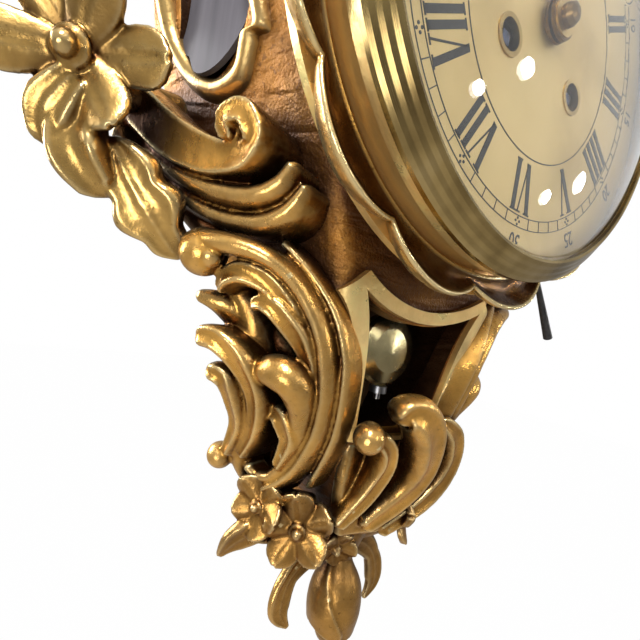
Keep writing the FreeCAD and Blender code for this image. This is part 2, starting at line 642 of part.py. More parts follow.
foot_flower = Vector(-33, -47, -193)
bottom_pieces = blossom(foot_flower, Vector(-0.66, -0.7, -0.25), 5, 15, 12, 4, 75)
bottom_pieces += [
    finger(on_axis, [(-8, -199, 38, 14, 14), (-20, -196, 42, 12, 12), (-32, -193, 46, 7, 7)]),
    finger(on_axis, [(-12, -199, 37, 9, 9), (-28, -198, 34, 12, 7), (-42, -194, 30, 15, 6),
                     (-51, -198, 28, 12, 5),
                     (-55, -207, 26, 4, 3)])]
foot_core = finger(on_axis, [(0, -192, 35, 24, 22), (0, -200, 37, 25, 22), (0, -208, 39, 15, 15),
                             (0, -213, 40, 9, 9)])
bottom_pieces += [reflected(piece) for piece in bottom_pieces] + [foot_core]
bottom_pieces += blossom(Vector(-8, -45, -204), Vector(-0.25, -0.88, -0.4), 5, 9.5, 8, 3.5, 40)
bottom_solid = seated(whole(bottom_pieces), [case_block, apron_solid, lower_solid, reflected(lower_solid)])
carve("bottom_flowers", bottom_solid)


def bud_shape():
    """Hanging blossom: a rolled cup, open below, with a plump heart, on a short neck, between two leaves."""
    outer = [(4, 0), (6, -5), (11, -14), (12.5, -24), (11.5, -33)]
    inner = [(9.3, -33), (10.2, -24), (7, -15), (0.01, -11)]
    spots = [Vector(radius, 0, fall) for radius, fall in outer]
    bore = [Vector(radius, 0, fall) for radius, fall in inner]
    edges = [curve_edge(spots), Part.makeLine(spots[-1], bore[0]), curve_edge(bore)]
    edges += [Part.makeLine(bore[-1], Vector(0.01, 0, 0)), Part.makeLine(Vector(0.01, 0, 0), spots[0])]
    cup = Part.Face(Part.Wire(edges)).revolve(Vector(), Vector(0, 0, 1), 360)
    stalk = Part.makeCone(2.6, 3.4, 24, Vector(0, 0, -10), Vector(0, 0, -1))
    heart = Part.makeSphere(7, Vector(0, 0, -36))
    cup = whole([cup, stalk, heart])
    cup.translate(Vector(0, -40, -209))
    leaf = finger(on_axis, [(-3, -209, 36, 8, 8), (-14, -210, 35, 12, 6), (-24, -219, 35, 12, 5),
                            (-27, -232, 36, 10, 4),
                            (-22, -240, 37, 3, 3)])
    return whole([cup, leaf, reflected(leaf)])


bud_solid = seated(bud_shape(), [bottom_solid])
carve("pendant_bud", bud_solid)

# Shoulder scroll beside the crest, and the crest's palmette on top of the case
shoulder_pieces = [
    finger(on_flank, [(52, 54, 4, 9, 10), (49, 64, 9, 12, 16), (42, 78, 12, 13, 18), (38, 94, 13, 13, 18),
                      (36, 108, 12, 12, 16)]),
    finger(on_flank, [(48, 60, 14, 3, 4), (52, 67, 18, 9, 7), (48, 79, 19, 10, 9), (44, 92, 17, 6, 7)]),
    ball(on_flank, 53, 54, 8, 8.5)]
shoulder_solid = seated(whole(shoulder_pieces), [case_block, side_frame, drum_solid])
shoulder_scroll_left = carve("shoulder_scroll_left", shoulder_solid)
mirror("shoulder_scroll_right", shoulder_scroll_left)


def crest_side(across, rise, out, wide):
    """One leaf of the palmette, from the crest's root to its curled tip."""
    root = across * 0.25
    return finger(on_top, [(root, -6, 36, 9, 12), (across * 0.55, rise * 0.35, 40, wide, 11),
                           (across * 0.9, rise * 0.72, out - 3, wide * 1.1, 9),
                           (across, rise, out, wide * 0.5, 6)])


crest_pieces = [crest_side(0.01, 108, 52, 19)]
crest_pieces += [crest_side(sign * 26, 92, 50, 17) for sign in (-1, 1)]
crest_pieces += [crest_side(sign * 46, 62, 46, 15) for sign in (-1, 1)]
crest_pieces += [finger(on_top, [(sign * 4, 2, 36, 12, 16), (sign * 24, 12, 36, 12, 16),
                                 (sign * 46, 10, 36, 11, 15),
                                 (sign * 58, -4, 36, 8, 12)]) for sign in (-1, 1)]
crest_pieces += [Part.makeSphere(9, Vector(sign * 57, -36, num("crown_up"))) for sign in (-1, 1)]
crest_pieces += blossom(on_top(0, 18, 42)[0], Vector(0, -1, 0.1), 5, 17, 14, 4, 90)
crest_solid = seated(whole(crest_pieces), [case_block, shoulder_solid, reflected(shoulder_solid)])
carve("crest", crest_solid)

# Bezel: a turned brass ring with reeds, hinged at the right, with its glass cemented into the seat
bezel_back = "face_out + bezel_gap"
seat_front = f"{bezel_back} + bezel_rise - 1.2"
reeds = int(num("bezel_reeds"))
bezel_profile = [("bezel_seat", bezel_back), ("bezel_radius", bezel_back)]
for k in range(reeds):
    low = f"{bezel_back} + 1.6 + {k} * (bezel_rise - 1.6) / {reeds}"
    high = f"{bezel_back} + 1.6 + {k + 0.55} * (bezel_rise - 1.6) / {reeds}"
    width = f"bezel_radius - {k} * (bezel_radius - bezel_lip - 1) / {reeds}"
    step = f"bezel_radius - {k + 0.45} * (bezel_radius - bezel_lip - 1) / {reeds}"
    bezel_profile += [(width, low), (step, high)]
bezel_profile += [("bezel_lip + 1", f"{bezel_back} + bezel_rise"),
                  ("bezel_lip", f"{bezel_back} + bezel_rise - 0.3")]
bezel_profile += [("bezel_lip", seat_front), ("bezel_seat", seat_front)]
bezel_turned = turned("bezel_turned", bezel_profile)
hinge_out = "face_out - hinge_back"
bezel_lug = block("bezel_lug", "bezel_radius - 1.5", "hinge_x", bezel_back, f"{bezel_back} + 2",
                  "-knuckle_half", "knuckle_half")
bezel_knuckle = upright("bezel_knuckle", "knuckle_radius", "-knuckle_half", "knuckle_half", "hinge_x",
                        hinge_out)
pin_hole = upright("bezel_pin_hole", "pin_radius + running_gap", "-hinge_half", "hinge_half", "hinge_x",
                   hinge_out)
bezel_whole = join("bezel_whole", [bezel_turned, bezel_lug, bezel_knuckle])
keep(cut("bezel_ring", bezel_whole, [pin_hole]), "bezel_ring")


def dome_glass_shape():
    """Convex glass: a flat edge in the bezel's seat and a shallow dome."""
    edge, thick = num("bezel_seat - glass_gap"), num("glass_thick")
    front = num(seat_front)
    start, rise = num("bezel_lip - 1"), num("glass_rise")

    def dome(out, height):
        foot, top = Vector(start, -out, 0), Vector(0, -out - height, 0)
        ball_radius = (start * start + height * height) / (2 * height)
        share = start * 0.6
        middle = ball_radius - math.sqrt(ball_radius * ball_radius - share * share)
        return foot, Vector(share, -out - height + middle, 0), top

    outer, inner = dome(front, rise), dome(front - thick, rise)
    rim_front, rim_back = Vector(edge, -front, 0), Vector(edge, -front + thick, 0)
    edges = [arc_edge(*outer), Part.makeLine(outer[2], inner[2]), arc_edge(*reversed(inner))]
    edges += [Part.makeLine(inner[0], rim_back), Part.makeLine(rim_back, rim_front)]
    edges.append(Part.makeLine(rim_front, outer[0]))
    return Part.Face(Part.Wire(edges)).revolve(Vector(), Vector(0, 1, 0), 360)


carve("dome_glass", dome_glass_shape())

# Hinge leaf on the drum with its two knuckles, and the pin
leaf_items = [block("hinge_leaf", "drum_radius - 2.5", "drum_radius + 1.2", f"{hinge_out} - 3", hinge_out,
                    "-hinge_half", "hinge_half")]
for side, low, high in (("low", "-hinge_half", "-knuckle_half - knuckle_gap"),
                        ("high", "knuckle_half + knuckle_gap", "hinge_half")):
    leaf_items.append(upright(f"hinge_knuckle_{side}", "knuckle_radius", low, high, "hinge_x", hinge_out))
    leaf_items.append(block(f"hinge_arm_{side}", "drum_radius + 0.5", "hinge_x", f"{hinge_out} - 2",
                            hinge_out,
                            low, high))
drum_round = rod("hinge_scribe", "drum_radius", "rim_seat_out", "face_out + 5")
leaf_hole = upright("hinge_hole", "pin_radius", "-hinge_half - 1", "hinge_half + 1", "hinge_x", hinge_out)
keep(cut("hinge_plate", join("hinge_whole", leaf_items), [drum_round, leaf_hole]), "hinge_plate")
keep(upright("hinge_pin", "pin_radius", "-hinge_half", "hinge_half", "hinge_x", hinge_out), "hinge_pin")

# Dial with its winding holes and brass grommets
winding_spots = [("-winding_x", "winding_up"), ("winding_x", "winding_up")]
dial_circles = [("0", "0", "dial_radius"), ("0", "0", "hour_pipe + 0.8")]
dial_circles += [(x, up, "winding_hole") for x, up in winding_spots]
keep(plate("dial_plate", "face_out - dial_thick", "dial_thick", circles=dial_circles), "dial_plate")
group("winding_grommets", [
    turned(f"grommet_{side}", [
        ("winding_hole - grommet_wall", "face_out - dial_thick"), ("winding_hole", "face_out - dial_thick"),
        ("winding_hole", "face_out"), ("winding_hole + grommet_wall", "face_out"),
        ("winding_hole + grommet_wall", "face_out + 0.5"), ("winding_hole - grommet_wall", "face_out + 0.5")],
        x=x, up=up)
    for side, (x, up) in zip(("left", "right"), winding_spots)])


def hand_shape(reach, bore, seat, pointer):
    """A pierced hand drawn upwards: hub, stem with two scrolled lobes, and a leaf-shaped point."""
    hub, thick = num("hub_radius"), num("hand_thick")
    side = [(1.3, hub - 1), (0.9, reach * 0.36), (3.2, reach * 0.43), (4.2, reach * 0.5), (3.2, reach * 0.57),
            (0.9, reach * 0.64), (2.4, reach * 0.75), (1.3, reach * 0.88), (0.3, reach)]
    right = [Vector(x, 0, up) for x, up in side]
    left = [Vector(-spot.x, 0, spot.z) for spot in reversed(right)]
    blade = prism(Part.makePolygon(right + left + right[:1]), seat, seat + thick)
    eye = Part.makeCylinder(1.7, 20, Vector(0, -seat + 5, reach * 0.5), Vector(0, -1, 0))
    disc = Part.makeCylinder(hub, thick, Vector(0, -seat, 0), Vector(0, -1, 0))
    hole = Part.makeCylinder(bore, 20, Vector(0, -seat + 5, 0), Vector(0, -1, 0))
    hand = disc.fuse(blade.cut(eye)).cut(hole)
    hand.rotate(Vector(), Vector(0, 1, 0), pointer)
    return hand


HOUR_POINTS = -30
hour_out = num("face_out + hour_seat")
minute_out = num("face_out + minute_seat")
carve("hour_hand", hand_shape(num("hour_reach"), num("hour_pipe"), hour_out, HOUR_POINTS))
carve("minute_hand", hand_shape(num("minute_reach"), num("cannon_radius"), minute_out, 0))
washer_out = "face_out + minute_seat + hand_thick"
keep(plate("hand_washer", washer_out, "washer_thick",
           circles=[("0", "0", "washer_radius"), ("0", "0", "cannon_radius - 0.5")]), "hand_washer")
nut_out = f"{washer_out} + washer_thick"
keep(turned("hand_nut", [
    ("cannon_radius - 0.5", nut_out), ("nut_radius", nut_out), ("nut_radius", f"{nut_out} + nut_high * 0.4"),
    ("nut_radius * 0.8", f"{nut_out} + nut_high * 0.8"), ("nut_radius * 0.35", f"{nut_out} + nut_high"),
    ("0", f"{nut_out} + nut_high"), ("0", f"{nut_out} + nut_high * 0.7"),
    ("cannon_radius - 0.5", f"{nut_out} + nut_high * 0.7")]), "hand_nut")


# Movement: where the arbors stand, from the winding arbors' places and the wheels' sizes

def gear_reach(module, *teeth):
    return num(module) * sum(num(count) for count in teeth) / 2


def meeting(a, reach_a, b, reach_b, side):
    """The spot at given distances from two arbors, on one side of the line between them."""
    gap = (b - a).Length
    run = (reach_a ** 2 - reach_b ** 2 + gap ** 2) / (2 * gap)
    rise = math.sqrt(reach_a ** 2 - run ** 2)
    along = (b - a).normalize()
    return a + along * run + Vector(along.z, 0, -along.x) * (side * rise)


def toward(a, b):
    return math.degrees(math.atan2(b.z - a.z, b.x - a.x))


def polar(centre, reach, angle):
    turn = math.radians(angle)
    return centre + Vector(reach * math.cos(turn), 0, reach * math.sin(turn))


centre_spot = Vector(0, 0, 0)
time_spot = Vector(num("winding_x"), 0, num("winding_up"))
strike_spot = Vector(-time_spot.x, 0, time_spot.z)
middle_spot = meeting(time_spot, gear_reach("great_module", "great_teeth", "pinion_teeth"),
                      centre_spot, gear_reach("middle_module", "middle_teeth", "centre_pinion_teeth"), 1)
third_spot = polar(centre_spot, gear_reach("centre_module", "centre_teeth", "third_pinion_teeth"), 120)
escape_reach = gear_reach("third_module", "third_teeth", "escape_pinion_teeth")
escape_spot = Vector(0, 0, third_spot.z + math.sqrt(escape_reach ** 2 - third_spot.x ** 2))
anchor_spot = Vector(0, 0, num("swing_up"))
minute_spot = polar(centre_spot, gear_reach("minute_module", "cannon_teeth", "minute_wheel_teeth"), 90)
pin_wheel_spot = polar(strike_spot, gear_reach("great_module", "great_teeth", "pinion_teeth"), 110)
fly_spot = polar(pin_wheel_spot, gear_reach("pin_wheel_module", "pin_wheel_teeth", "fly_teeth"), 120)
hammer_spot = Vector(num("hammer_x"), 0, num("hammer_up"))


def toothed(spot, teeth, module, out_from, out_to, phase, bore=0):
    """A toothed wheel: one tooth's middle stands at the phase angle, and the teeth leave backlash."""
    count, size = int(num(teeth)), module if isinstance(module, float) else num(module)
    pitch, step = size * count / 2, 360 / count
    corners = []
    for k in range(count):
        middle = phase + k * step
        for share, reach in ((-0.27, pitch - 1.1 * size), (-0.09, pitch + 0.75 * size),
                             (0.09, pitch + 0.75 * size), (0.27, pitch - 1.1 * size)):
            corners.append(polar(spot, reach, middle + share * step))
    shape = prism(Part.makePolygon(corners + corners[:1]), out_from, out_to)
    return shape.cut(post(spot, bore, out_from - 1, out_to + 1)) if bore else shape


def post(spot, radius, out_from, out_to):
    """A round length of an arbor."""
    return Part.makeCylinder(radius, out_to - out_from, spot - Vector(0, out_from, 0), Vector(0, -1, 0))


def gap_phase(spot, other, teeth):
    """The phase that sets a gap between two teeth towards the other arbor."""
    return toward(spot, other) + 180 / num(teeth)


rear_in = num("rear_plate_out + plate_thick")
front_in = num("front_plate_out")
rear_face, front_face = num("rear_plate_out"), num("front_plate_out + plate_thick")
pivot, arbor, thick = num("pivot_radius"), num("arbor_radius"), num("wheel_thick")
slack = num("running_gap")
low_layer = rear_in + 0.8
great_layer = rear_in + 4.2
drum_layer = great_layer + 2
drum_end = front_in - 5
high_layer = front_in - 3


def arbor_posts(spot, shoulder=0.6):
    """An arbor between the plates with a pivot at each end."""
    return [post(spot, arbor, rear_in + shoulder / 2, front_in - shoulder / 2),
            post(spot, pivot, rear_face, front_face)]


def barrel_shape(spot, mesh_spot):
    """Spring barrel: a hollow drum with its great wheel, free on the winding arbor."""
    bore, outer, wall = num("barrel_core") + slack, num("barrel_radius"), num("barrel_wall")
    drum = post(spot, outer, drum_layer, drum_end).cut(post(spot, outer - wall, drum_layer + wall,
                                                            drum_end - wall))
    wheel = toothed(spot, "great_teeth", "great_module", great_layer, drum_layer + 0.2,
                    toward(spot, mesh_spot))
    return drum.fuse(wheel).cut(post(spot, bore, rear_in, front_in))


def winding_arbor_shape(spot):
    """Winding arbor: barrel core, square for the key and the ratchet wheel before the front plate."""
    core, half = num("barrel_core"), num("square_side") / 2
    ratchet, teeth = num("ratchet_radius"), int(num("ratchet_teeth"))
    corners = []
    for k in range(teeth):
        corners += [polar(spot, ratchet, 360 * k / teeth),
                    polar(spot, ratchet - 1.2, 360 * (k + 0.12) / teeth)]
    wheel = prism(Part.makePolygon(corners + corners[:1]), front_face + 0.4, front_face + 0.4 + thick)
    square = Part.makeBox(2 * half, num("face_out") - 1 - front_face, 2 * half,
                          spot + Vector(-half, 1 - num("face_out"), -half))
    return whole([post(spot, core, rear_in + 0.3, front_face + 0.4 + thick),
                  post(spot, arbor, rear_face, rear_in + 1),
                  wheel, square])


def click_shape(spot, side):
    """Ratchet click: a pivoted pawl whose nose stands just clear of the ratchet's teeth."""
    seat = front_face + 0.4
    pivot_spot = click_pivot(spot, side)
    nose = polar(spot, num("ratchet_radius + click_gap"), toward(spot, pivot_spot) + side * 55)
    body = Part.makePolygon([pivot_spot + Vector(-1.6, 0, 0), pivot_spot + Vector(1.6, 0, 0), nose,
                             pivot_spot + Vector(-1.6, 0, 0)])
    pawl = prism(body, seat, seat + thick).cut(post(spot, num("ratchet_radius + click_gap"), seat - 1,
                                                    seat + 5))
    pawl = pawl.fuse(post(pivot_spot, 2.2, seat, seat + thick))
    return pawl.fuse(post(pivot_spot, pivot, front_in, seat + thick + 0.5))


def click_pivot(spot, side):
    return spot + Vector(side * 3, 0, -num("ratchet_radius") - 5.5)


time_click_spot, strike_click_spot = click_pivot(time_spot, 1), click_pivot(strike_spot, -1)
carve("time_barrel", barrel_shape(time_spot, middle_spot))
carve("strike_barrel", barrel_shape(strike_spot, pin_wheel_spot))
carve("time_winding_arbor", winding_arbor_shape(time_spot))
carve("strike_winding_arbor", winding_arbor_shape(strike_spot))
carve("time_click", click_shape(time_spot, 1))
carve("strike_click", click_shape(strike_spot, -1))
spring_gap = num("barrel_wall") + 0.5


def spring_coil(spot):
    """Wound mainspring inside its barrel, as one closed coil."""
    inside = num("barrel_radius") - spring_gap
    low, high = drum_layer + spring_gap, drum_end - spring_gap
    return post(spot, inside, low, high).cut(post(spot, num("barrel_core") + 3, low - 1, high + 1))


carve("mainsprings", Part.makeCompound([spring_coil(time_spot), spring_coil(strike_spot)]))

# Going train
carve("intermediate_wheel", whole(arbor_posts(middle_spot) + [
    toothed(middle_spot, "pinion_teeth", "great_module", great_layer - 0.4, drum_layer + 0.4,
            gap_phase(middle_spot, time_spot, "pinion_teeth")),
    toothed(middle_spot, "middle_teeth", "middle_module", low_layer, low_layer + thick,
            toward(middle_spot, centre_spot))]))
cannon = num("cannon_radius")
cannon_end = num(nut_out)
carve("centre_arbor", whole([
    post(centre_spot, arbor, rear_in + 0.3, front_in), post(centre_spot, pivot, rear_face, rear_in + 1),
    post(centre_spot, arbor + 0.5, front_in - 1, front_face + 1),
    post(centre_spot, cannon, front_face + 0.8, num(washer_out)),
    post(centre_spot, cannon - 0.5, num(washer_out) - 1, cannon_end + num("nut_high") * 0.7),
    toothed(centre_spot, "centre_pinion_teeth", "middle_module", low_layer - 0.4, low_layer + thick + 0.4,
            gap_phase(centre_spot, middle_spot, "centre_pinion_teeth")),
    toothed(centre_spot, "centre_teeth", "centre_module", high_layer, high_layer + thick,
            toward(centre_spot, third_spot)),
    toothed(centre_spot, "cannon_teeth", "minute_module", front_face + 1.2, front_face + 1.2 + thick + 0.6,
            gap_phase(centre_spot, minute_spot, "cannon_teeth"))]))
third_layer = drum_layer + 6
carve("third_wheel", whole(arbor_posts(third_spot) + [
    toothed(third_spot, "third_pinion_teeth", "centre_module", high_layer - 0.4, high_layer + thick + 0.4,
            gap_phase(third_spot, centre_spot, "third_pinion_teeth")),
    toothed(third_spot, "third_teeth", "third_module", third_layer, third_layer + thick,
            toward(third_spot, escape_spot))]))
escape_layer = great_layer + 3


def escape_wheel_shape():
    """Escape wheel with slender raked teeth."""
    teeth, radius = int(num("escape_teeth")), num("escape_radius")
    corners = []
    for k in range(teeth):
        corners += [polar(escape_spot, radius, 360 * k / teeth),
                    polar(escape_spot, radius - 2, 360 * (k + 0.3) / teeth),
                    polar(escape_spot, radius - 2, 360 * (k + 0.8) / teeth)]
    wheel = prism(Part.makePolygon(corners + corners[:1]), escape_layer, escape_layer + thick)
    leaves = toothed(escape_spot, "escape_pinion_teeth", "third_module", third_layer - 0.4,
                     third_layer + thick + 0.4,
                     gap_phase(escape_spot, third_spot, "escape_pinion_teeth"))
    return whole(arbor_posts(escape_spot) + [wheel, leaves])


carve("escape_wheel", escape_wheel_shape())
crutch_out = rear_face - 5


def anchor_shape():
    """Pallet anchor over the escape wheel, and the crutch that embraces the pendulum rod."""
    reach = num("escape_radius + pallet_gap")
    tips = [polar(escape_spot, reach, 90 + sign * 50) for sign in (1, -1)]
    heels = [polar(escape_spot, reach + 1.6, 90 + sign * 58) for sign in (1, -1)]
    top = anchor_spot + Vector(0, 0, 2.6)
    under = anchor_spot - Vector(0, 0, 1.6)
    arms = Part.makePolygon([tips[0], heels[0], top, heels[1], tips[1], under, tips[0]])
    anchor = prism(arms, escape_layer, escape_layer + thick)
    stem = [post(anchor_spot, arbor, rear_in + 0.3, front_in - 0.3),
            post(anchor_spot, pivot, crutch_out, front_face)]
    crutch_foot = num("swing_up") - 34
    crutch = Part.makeBox(3, 1.6, 36, Vector(-1.5, -crutch_out - 1.6, crutch_foot))
    gap = num("rod_radius") + 0.5
    pins = [post(Vector(sign * (gap + 0.8), 0, crutch_foot + 2), 0.8, num("pendulum_out") - 2, crutch_out + 1)
            for sign in (1, -1)]
    bridge = Part.makeBox(2 * gap + 3.2, 1.6, 4, Vector(-gap - 1.6, -crutch_out - 1.6, crutch_foot))
    return whole([anchor, crutch, bridge] + stem + pins)


carve("pallet_anchor", anchor_shape())

# Motion work behind the dial: minute wheel on a stud, hour wheel on the cannon
motion_layer = front_face + 1.4
hour_layer = motion_layer + 2.6
hour_module = gear_reach("minute_module", "cannon_teeth", "minute_wheel_teeth") * 2 / num(
    "minute_pinion_teeth + hour_teeth")
carve("minute_wheel", whole([
    post(minute_spot, pivot, front_in, hour_layer + thick + 0.8),
    post(minute_spot, 1.4, front_face + 0.4, hour_layer),
    toothed(minute_spot, "minute_wheel_teeth", "minute_module", motion_layer, motion_layer + thick,
            toward(minute_spot, centre_spot)),
    toothed(minute_spot, "minute_pinion_teeth", hour_module, hour_layer - 0.3, hour_layer + thick + 0.3,
            gap_phase(minute_spot, centre_spot, "minute_pinion_teeth"))]))
hour_wheel = toothed(centre_spot, "hour_teeth", hour_module, hour_layer, hour_layer + thick,
                     toward(centre_spot, minute_spot))
hour_wheel = hour_wheel.fuse(post(centre_spot, num("hour_pipe"), hour_layer, hour_out + num("hand_thick")))
carve("hour_wheel", hour_wheel.cut(post(centre_spot, cannon + slack, front_face, num("face_out") + 10)))


# Striking train: pin wheel, fly and hammer
def pin_wheel_shape():
    """Pin wheel with its lifting pins, driven by the strike barrel."""
    pins = [post(polar(pin_wheel_spot, 9.5, 45 * k), 0.6, low_layer + thick - 0.2, low_layer + thick + 1.4)
            for k in range(8)]
    return whole(arbor_posts(pin_wheel_spot) + pins + [
        toothed(pin_wheel_spot, "pinion_teeth", "great_module", great_layer - 0.4, drum_layer + 0.4,
                gap_phase(pin_wheel_spot, strike_spot, "pinion_teeth")),
        toothed(pin_wheel_spot, "pin_wheel_teeth", "pin_wheel_module", low_layer, low_layer + thick,
                toward(pin_wheel_spot, fly_spot))])


carve("strike_pin_wheel", pin_wheel_shape())
vane = Part.makeBox(2 * num("fly_radius"), 8, 0.8, fly_spot + Vector(-num("fly_radius"), 3.5 - front_in,
                                                                     -0.4))
carve("strike_fly", whole(arbor_posts(fly_spot) + [
    vane, toothed(fly_spot, "fly_teeth", "pin_wheel_module", low_layer - 0.4, low_layer + thick + 0.4,
                  gap_phase(fly_spot, pin_wheel_spot, "fly_teeth"))]))
gong_spot = Vector(num("gong_x"), 0, num("gong_top"))


def hammer_shape():
    """Strike hammer: arbor through the rear plate, tail beside the pins, arm and head by the gong."""
    out, reach, head = num("hammer_out"), num("hammer_reach"), num("hammer_head")
    tail = Part.makeBox(4.2, thick, 1.6, hammer_spot + Vector(0, -low_layer - 2 * thick - 0.3, -0.8))
    arm = Part.makeBox(2.4, 2, reach, hammer_spot + Vector(-1.2, -out - 1, -reach))
    face = num("gong_x - gong_radius - strike_gap")
    length = 9
    knob = Part.makeCylinder(head, length, Vector(face - length, -out, hammer_spot.z - reach),
                             Vector(1, 0, 0))
    return whole([post(hammer_spot, arbor, rear_in + 0.3, front_in - 0.3),
                  post(hammer_spot, pivot, out - 2, front_face),
                  post(hammer_spot, 2.2, out - 2, out + 2), tail, arm, knob])


carve("hammer", hammer_shape())
board_front = num("hanger_thick + back_board_thick")
gong_block = Part.makeBox(12, num("hammer_out") + 6 - board_front, 15,
                          gong_spot + Vector(-6, -num("hammer_out") - 6, 0))
carve("gong_block", gong_block)
keep(upright("gong_rod", "gong_radius", "gong_top - gong_long", "gong_top", "gong_x", "hammer_out"),
     "gong_rod")

# Plates with their pivot holes, pillars and the screws that hold the front plate to the drum
pillar_spots = [polar(centre_spot, num("pillar_reach"), 45 + 90 * k) for k in range(4)]
plate_screws = [polar(centre_spot, num("(drum_ledge + front_plate_radius) / 2"), 90 * k) for k in range(4)]
fine_pivots = [middle_spot, third_spot, escape_spot, anchor_spot, pin_wheel_spot, fly_spot, hammer_spot]


def drilled(name, radius, out, holes):
    """A round brass plate with its holes."""
    disc = post(centre_spot, num(radius), out, out + num("plate_thick"))
    for spot, size in holes:
        disc = disc.cut(post(spot, size, out - 1, out + num("plate_thick") + 1))
    return carve(name, disc)


pivot_holes = [(spot, pivot + slack) for spot in fine_pivots]
pillar_holes = [(spot, num("screw_shank")) for spot in pillar_spots]
front_holes = [(spot, num("barrel_core") + slack) for spot in (time_spot, strike_spot)]
front_holes += [(spot, pivot + slack) for spot in (minute_spot, time_click_spot, strike_click_spot)]
front_holes += [(centre_spot, arbor + 0.5 + slack)] + [(spot, num("screw_shank")) for spot in plate_screws]
lever_pivot_spot = polar(centre_spot, num("lever_pivot"), num("lever_angle"))
front_holes.append((lever_pivot_spot, pivot + slack))
rear_holes = [(spot, arbor + slack) for spot in (time_spot, strike_spot)] + [(centre_spot, pivot + slack)]
drilled("front_plate", "front_plate_radius", front_in, pivot_holes + pillar_holes + front_holes)
drilled("rear_plate", "rear_plate_radius", rear_face, pivot_holes + pillar_holes + rear_holes)


def pillar_shape(spot):
    """Plate pillar with a thinner end in each plate and a nut behind the rear plate."""
    shank = num("screw_shank")
    return whole([post(spot, num("pillar_radius"), rear_in, front_in),
                  post(spot, shank, rear_face - 2.5, front_face),
                  post(spot, num("pillar_radius"), rear_face - 2.5, rear_face)])


def plate_screw_shape(spot):
    """Screw through the front plate's edge into the drum's ledge."""
    return post(spot, num("screw_head"), front_face, front_face + 1.4).fuse(
        post(spot, num("screw_shank"), front_in, front_face + 1))


carve("plate_pillars", Part.makeCompound([pillar_shape(spot) for spot in pillar_spots]))
carve("movement_screws", Part.makeCompound([plate_screw_shape(spot) for spot in plate_screws]))

# Pendulum: cock on the rear plate with its pin, spring, rod, bob and rating nut
hang_out = num("pendulum_out")
swing = num("swing_up")


def cock_shape():
    """Suspension cock: foot on the rear plate, arm over the spring, two cheeks with a pin between them."""
    foot = Part.makeBox(12, 2, 11, Vector(-6, -rear_face, swing + 4))
    arm = Part.makeBox(8, rear_face - hang_out + 5, 3, Vector(-4, -rear_face, swing + 4))
    cheeks = [Part.makeBox(8, 1.4, 8, Vector(-4, -out, swing - 3)) for out in (hang_out + 3.9,
                                                                               hang_out - 2.5)]
    axle = post(anchor_spot, num("pin_radius"), hang_out - 3.5, hang_out + 3)
    return whole([foot, arm, axle] + cheeks)


def spring_shape():
    """Suspension spring between its two brass chaps, the upper one on the cock's pin."""
    chap = Part.makeBox(6, 4, 5, Vector(-3, -hang_out - 2, swing - 2.5))
    strip = Part.makeBox(num("spring_thick"), 3, 9, Vector(-num("spring_thick") / 2, -hang_out - 1.5,
                                                           swing - 11))
    foot = Part.makeBox(5, 4, 5, Vector(-2.5, -hang_out - 2, swing - 15.5))
    return whole([chap, strip, foot]).cut(post(anchor_spot, num("pin_radius") + slack, hang_out - 5,
                                               hang_out + 5))


carve("suspension_cock", cock_shape())
carve("suspension_spring", spring_shape())
bob_up = "swing_up - bob_drop"
rod_foot = f"{bob_up} - bob_radius - 2 * rating_nut_high"
keep(upright("pendulum_rod", "rod_radius", rod_foot, "swing_up - 15.5", "0", "pendulum_out"), "pendulum_rod")
bob_lens = turned("bob_lens", [
    ("0", "pendulum_out - bob_thick / 2"), ("bob_radius * 0.6", "pendulum_out - bob_thick * 0.42"),
    ("bob_radius * 0.9", "pendulum_out - bob_thick * 0.27"), ("bob_radius", "pendulum_out - bob_edge / 2"),
    ("bob_radius", "pendulum_out + bob_edge / 2"), ("bob_radius * 0.9", "pendulum_out + bob_thick * 0.27"),
    ("bob_radius * 0.6", "pendulum_out + bob_thick * 0.42"), ("0", "pendulum_out + bob_thick / 2")],
    up=bob_up)
bob_bore = upright("bob_bore", "rod_radius", f"{bob_up} - bob_radius - 1", f"{bob_up} + bob_radius + 1",
                   "0", "pendulum_out")
keep(cut("pendulum_bob", bob_lens, [bob_bore]), "pendulum_bob")
nut_low = f"{bob_up} - bob_radius - rating_nut_high"
rating_disc = upright("rating_disc", "rating_nut_radius", nut_low, f"{nut_low} + rating_nut_high", "0",
                      "pendulum_out")
rating_bore = upright("rating_bore", "rod_radius", f"{nut_low} - 1", f"{nut_low} + rating_nut_high + 1",
                      "0", "pendulum_out")
keep(cut("rating_nut", rating_disc, [rating_bore]), "rating_nut")


def strike_lever_shape():
    """Strike lever: pivots behind the front plate, passes under the rim and ends in a black grip."""
    out, half = num("lever_out"), num("lever_wide") / 2
    start, grip, end = num("lever_pivot"), num("lever_grip"), num("lever_end")
    bar = Part.makeBox(grip + 4 - start, num("lever_thick"), 2 * half,
                       Vector(start, -out - num("lever_thick"), -half))
    middle = out + num("lever_thick") / 2
    handle = Part.makeCone(num("grip_thin"), num("grip_thick"), end - grip, Vector(grip, -middle, 0),
                           Vector(1, 0, 0))
    neck = along_lever(whole([bar, handle]))
    boss = post(lever_pivot_spot, half + 1, out, front_in - 0.4)
    return whole([neck, boss, post(lever_pivot_spot, pivot, out, front_face)])


carve("strike_lever", strike_lever_shape())

# Every object sound before anything is written
doc.recompute()
for item in doc.Objects:
    if {"Invalid", "Error"} & set(item.State):
        raise RuntimeError(f"{item.Label} did not build: {item.State}")
unsound = [item.Label for item in PARTS
           if item.Shape.isNull() or not item.Shape.isValid() or not item.Shape.Solids]
if unsound:
    raise RuntimeError(f"no sound solid: {unsound}")
os.makedirs("parts", exist_ok=True)
for item in PARTS:
    item.Shape.exportStep(f"parts/{item.Label}.step")
print(len(PARTS), "pieces written")
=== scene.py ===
import math

import bmesh
import bpy
from mathutils import Matrix, Vector, noise


